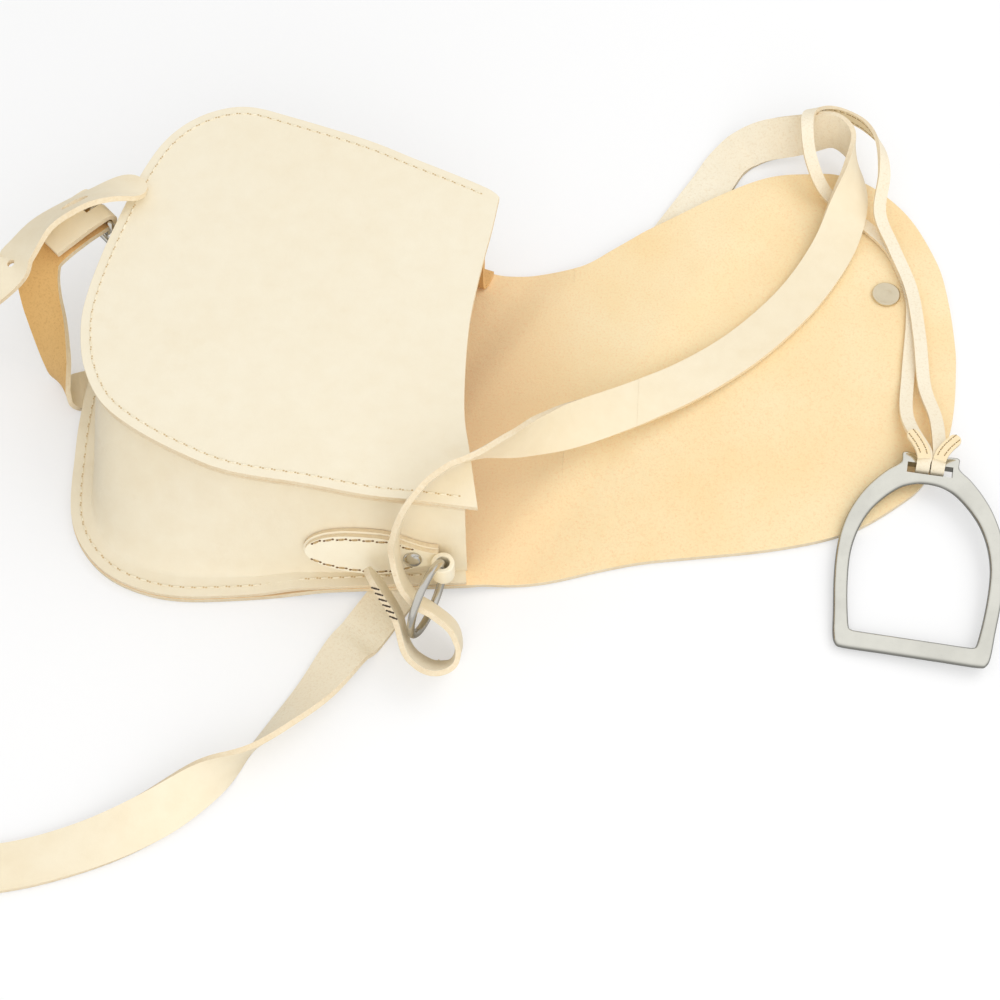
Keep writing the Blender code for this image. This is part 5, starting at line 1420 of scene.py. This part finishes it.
def hoop(profile, matrix, segments):
    """A solid turned round local Z from a closed profile of (radius, height) pairs."""
    bm = bmesh.new()
    rings = [[bm.verts.new((radius * math.cos(a), radius * math.sin(a), height))
              for a in around(segments)] for radius, height in profile]
    join_rings(bm, rings, True)
    bm.transform(matrix)
    return bm


def strap_skin(sections, width, thickness, tip_start=0.0, tip_end=0.0, columns=6):
    """A flat strap: grain side, flesh side and cut edges as material slots 0, 1 and 2."""
    reach = reach_along([place for place, _, _ in sections])
    upper, lower = [], []
    for (place, wide, along), start in zip(sections, reach):
        half = width / 2
        for tip, distance in ((tip_start, start), (tip_end, reach[-1] - start)):
            if tip and distance < tip:
                share = max(distance / tip, TIP_BLUNTNESS)
                half *= math.sqrt(1 - (1 - share) ** 2)
        row = [place + wide * half * (2 * k / columns - 1) for k in range(columns + 1)]
        rise = along.cross(wide) * thickness / 2
        upper.append([spot + rise for spot in row])
        lower.append([spot - rise for spot in row])
    return closed_skin(upper, lower)


def split_side(bm, x, sign):
    """Keep one side of the plane at x, with the cut closed as an edge."""
    bmesh.ops.recalc_face_normals(bm, faces=bm.faces)
    made = bmesh.ops.bisect_plane(
        bm, geom=bm.verts[:] + bm.edges[:] + bm.faces[:], plane_co=(x, 0, 0),
        plane_no=(sign, 0, 0), clear_inner=True)
    edges = [item for item in made["geom_cut"] if isinstance(item, bmesh.types.BMEdge)]
    filled = bmesh.ops.contextual_create(bm, geom=edges)
    for face in filled["faces"]:
        face.material_index = 2


def strap_part(m, name, bm, cover):
    """A length of the long strap, which stands for one of the plain solids."""
    return piece(name, bm, [m["strap"], m["pale_flesh"], m["edge"]], [cover],
                 STRAP_ROUNDING)


def ring_end_pieces(m, sections):
    """The long strap's end round the near ring, with the dark hand stitches on its upper edge."""
    ring_end = strap_part(m, "ring_end_leather", strap_skin(sections, *STRAP_SIZE, TIP_LENGTH),
                          "strap_ring_end")
    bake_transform(ring_end)
    path, normals = [], []
    for place, wide, _ in sections[STRAP_STEPS * 3 // 4:STRAP_STEPS * 9 // 4]:
        upper = wide if wide.z > 0 else -wide
        path.append(place + upper * (STRAP_WIDTH + STITCH_RADIUS) / 2)
        normals.append(upper)
    hand = stitches("hand_stitches", path, normals, None, (m["dark_thread"], m["dark_thread"]),
                    *HAND_STITCH)
    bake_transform(hand)


def shoulder_pieces(m, rows):
    """The long strap, parted at the lines on which the flap turns."""
    sections, first = long_strap_sections(rows)
    ring_last = first[1] - STRAP_STEPS
    ring_end_pieces(m, sections[:ring_last + 1])

    bm = strap_skin(sections[ring_last:first[3] + STRAP_STEPS], *STRAP_SIZE)
    split_side(bm, TURN_X, -1)
    corner = strap_part(m, "corner_leather", bm, "strap_over_corner")
    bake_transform(corner)

    bm = strap_skin(sections[first[2]:first[6]], *STRAP_SIZE)
    split_side(bm, TURN_X, 1)
    over = strap_part(m, "over_flap_leather", bm, "strap_over_flap")
    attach(over, "flap")

    bm = strap_skin(sections[first[5]:first[6]], *STRAP_SIZE)
    split_side(bm, TURN_X, -1)
    split_side(bm, FOLD_X, 1)
    under = strap_part(m, "under_bridge_leather", bm, "strap_under_bridge")
    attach(under, "bridge")

    bm = strap_skin(sections[first[5]:], *STRAP_SIZE, 0.0, TIP_LENGTH)
    split_side(bm, FOLD_X, -1)
    strap = strap_part(m, "long_strap_leather", bm, "shoulder_strap")
    reach = 4 * STRAP_THICKNESS
    hole = Matrix.Translation(at(*HOLE_SHARES, TOP_LEVEL))
    cut(strap, [rod(STRAP_SLOT_WIDTH / 2, reach, slot_matrix(), 40),
                rod(STRAP_HOLE_RADIUS, reach, hole, 24)])
    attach(strap, "bag")


def buckle_pieces(m, rows):
    """The short strap, and the buckle that hangs from its fold."""
    matrix = buckle_matrix()
    sections, last = short_strap_sections(rows, matrix)
    skins = [m["strap"], m["flesh"], m["edge"]]
    end = piece("buckle_end_leather", strap_skin(sections[:last + 1], *STRAP_SIZE, TIP_LENGTH), skins,
                ["buckle_strap_end"], STRAP_ROUNDING)
    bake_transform(end)
    body = piece("buckle_strap_leather", strap_skin(sections[last:], *STRAP_SIZE), skins,
                 ["buckle_strap"], STRAP_ROUNDING)
    cut(body, [tongue_slot(matrix)])
    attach(body, "bag")
    obj = piece("buckle_metal", tube(buckle_frame_points(matrix, 8), BUCKLE_WIRE, 16, True),
                [m["metal"]], ["buckle_frame"])
    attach(obj, "buckle")
    obj = piece("tongue_metal", tube(tongue_points(matrix, 20), TONGUE_WIRE, 12, False),
                [m["metal"]], ["buckle_tongue"], 0.0003, 2)
    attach(obj, "tongue")


def ring_pieces(m, rows):
    """The two rings, each hanging from its eye."""
    for side, name in ((-1, "near_ring"), (1, "far_ring")):
        outward = ring_turn(side) @ Vector((0, side, 0))
        centre = eye_place(rows, side) + outward * RING_RADIUS
        points = circle(centre, outward, UPRIGHT, RING_RADIUS, 96)
        obj = piece(name + "_metal", tube(points, RING_WIRE, 20, True), [m["metal"]], [name])
        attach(obj, name)


def rivet_pieces(m, rows):
    """The domed rivet caps on the tabs."""
    for side, prefix in ((-1, "near"), (1, "far")):
        place, outward, _ = wall_place(rows, side, EYE_X - RIVET_BACK_FROM_EYE, TAB_CENTRE_HEIGHT)
        matrix = Matrix.Translation(place) @ outward.to_track_quat("Z", "Y").to_matrix().to_4x4()
        seat = TAB_CLEARANCE + TAB_THICKNESS + CLEARANCE / 2
        obj = piece(prefix + "_rivet_metal", turned([(0, seat)] + dome(seat, 14), matrix, 48),
                    [m["metal"]], [prefix + "_rivet"])
        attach(obj, "bag")


def disc_piece(m):
    """The flap's magnet disc, dished inside a rolled rim."""
    place = flap_magnet_place()
    base = leather_lift(place.x, place.y) + PANEL_THICKNESS
    profile = [(MAGNET_RADIUS * radius, base + (MAGNET_HEIGHT + CLEARANCE) * height)
               for radius, height in DISC_SHARES]
    obj = piece("disc_metal", turned(profile, Matrix.Translation(place), 64),
                [m["disc"]], ["flap_magnet"], angle=50)
    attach(obj, "flap")


def rounded_stirrup(matrix, half, steps=24, squareness=0.85):
    """The stirrup's plate with soft sides, from its right half's outside and inside places."""
    whole = half + [(-a, b, -c, d) for a, b, c, d in half[-2:0:-1]]
    bm = bmesh.new()
    rings = []
    for a, b, c, d in whole:
        ring = []
        for angle in around(steps):
            share, height = (0.5 + 0.5 * math.copysign(abs(value) ** squareness, value)
                             for value in (math.cos(angle), math.sin(angle)))
            ring.append(bm.verts.new(((a + (c - a) * share) * STIRRUP_WIDTH,
                                      (b + (d - b) * share) * STIRRUP_HEIGHT,
                                      height * STIRRUP_THICKNESS)))
        rings.append(ring)
    join_rings(bm, rings, True)
    bm.transform(matrix)
    return bm


def stirrup_piece(m):
    """The stirrup with the slot for its band."""
    matrix = stirrup_matrix()
    half = smooth_path([(*outside, *inside) for outside, inside in STIRRUP_PAIR_SHARES], 4)
    obj = piece("stirrup_plate", rounded_stirrup(matrix, half), [m["stirrup"]], ["stirrup"])
    cut(obj, [stirrup_slot(matrix)])
    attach(obj, "stirrup")


def band_piece(m):
    """The stirrup's narrow band, looped round the strap, with its two stitched end tabs."""
    matrix = stirrup_matrix()
    skins = [m["band"], m["pale_flesh"], m["edge"]]
    seam = (m["tab_thread"], m["hole"])
    sections = strap_sections(band_route(matrix), STRAP_STEPS, BAND_WIDTH, BAND_THICKNESS)
    obj = piece("band_leather", strap_skin(sections, BAND_WIDTH, BAND_THICKNESS, columns=4),
                skins, ["stirrup_leather"], BAND_ROUNDING, 2)
    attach(obj, "flap")
    first = len(SLOT_TURN_SHARES) + 3 + len(LEFT_BAND_SHARES)
    keeper = sections[first * STRAP_STEPS:(first + len(KEEPER_SHARES)) * STRAP_STEPS]
    edge_seams("keeper_seam", keeper, "flap", seam, 0.30, KEEPER_STITCH_PITCH)
    for sign, tag in ((-1, "left"), (1, "right")):
        tab = band_tab_sections(matrix, sign)
        obj = piece("band_tab_" + tag,
                    strap_skin(tab, BAND_WIDTH, BAND_THICKNESS, 0.0, BAND_TIP_LENGTH, 4),
                    skins, [], BAND_ROUNDING, 2)
        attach(obj, "flap")
        rows = edge_seams("band_tab_seam_" + tag, tab[STRAP_STEPS // 2:], "flap", seam, 0.24,
                          BAND_TAB_STITCH_PITCH)
        for soft in [obj] + rows:
            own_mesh(soft)


def dress_nodes(frame, m):
    """Materials for the hidden pieces that keep their plain solids."""
    for name, material in (("near_rivet_back", "metal"), ("far_rivet_back", "metal"),
                           ("flap_magnet_cap", "metal"), ("front_magnet", "metal"),
                           ("magnet_patch", "inside")):
        obj = frame["nodes"][name]
        for index in range(len(obj.material_slots)):
            obj.material_slots[index].material = m[material]


def make_stage():
    """A white floor that keeps the object's shadow, a white surround and soft lamps."""
    bm = bmesh.new()
    bmesh.ops.create_grid(bm, x_segments=1, y_segments=1, size=4.0)
    floor = stand("floor", mesh_of("floor", bm))
    floor.location = (0, 0, -CLEARANCE)
    material, tree, shader, _ = new_material("floor_white")
    seen = node(tree, "ShaderNodeLightPath").outputs["Is Camera Ray"]
    fed(tree, shader, {
        "Base Color": FLOOR_TONE, "Roughness": 0.9, "Specular IOR Level": 0.0,
        "Emission Color": WHITE, "Emission Strength": scaled(tree, seen, FLOOR_GLOW),
    })
    floor.data.materials.append(material)

    world = bpy.data.worlds.new("surround")
    bpy.context.scene.world = world
    world.use_nodes = True
    tree = world.node_tree
    rays = node(tree, "ShaderNodeLightPath").outputs
    seen = node(tree, "ShaderNodeMath", {0: rays["Is Camera Ray"], 1: rays["Is Glossy Ray"]},
                operation="MAXIMUM").outputs[0]
    fed(tree, tree.nodes["Background"], {
        "Color": WHITE, "Strength": ramp(tree, seen, start=SURROUND_LIGHT, end=1.0),
    })

    for name, place, size, power in LAMPS:
        lamp = bpy.data.lights.new(name, "AREA")
        lamp.shape = "SQUARE"
        lamp.size = size
        lamp.energy = power
        obj = aimed(stand(name, lamp), place, LAMP_TARGET)
        obj.visible_glossy = False


def make_camera():
    """A long lens that looks down on the open bag from its near side."""
    data = bpy.data.cameras.new("camera")
    data.lens = CAMERA_LENS
    data.sensor_width = SENSOR_WIDTH
    data.clip_start = 0.01
    camera = aimed(stand("camera", data), CAMERA_PLACE, CAMERA_TARGET)
    bpy.context.scene.camera = camera


def dress():
    """The whole bag in its leather, thread and metal, on its floor."""
    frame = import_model()
    make_camera()
    make_stage()
    bpy.context.scene.view_settings.view_transform = "Standard"
    m = make_materials()
    rows = wall_rows()
    front_piece(m)
    back_piece(m)
    flap_piece(m)
    gusset_piece(m, rows)
    seams(m)
    for side, prefix in ((-1, "near"), (1, "far")):
        tab_piece(m, rows, side, prefix)
    ring_pieces(m, rows)
    rivet_pieces(m, rows)
    disc_piece(m)
    shoulder_pieces(m, rows)
    buckle_pieces(m, rows)
    stirrup_piece(m)
    band_piece(m)
    dress_nodes(frame, m)
    bpy.context.view_layer.update()


dress()
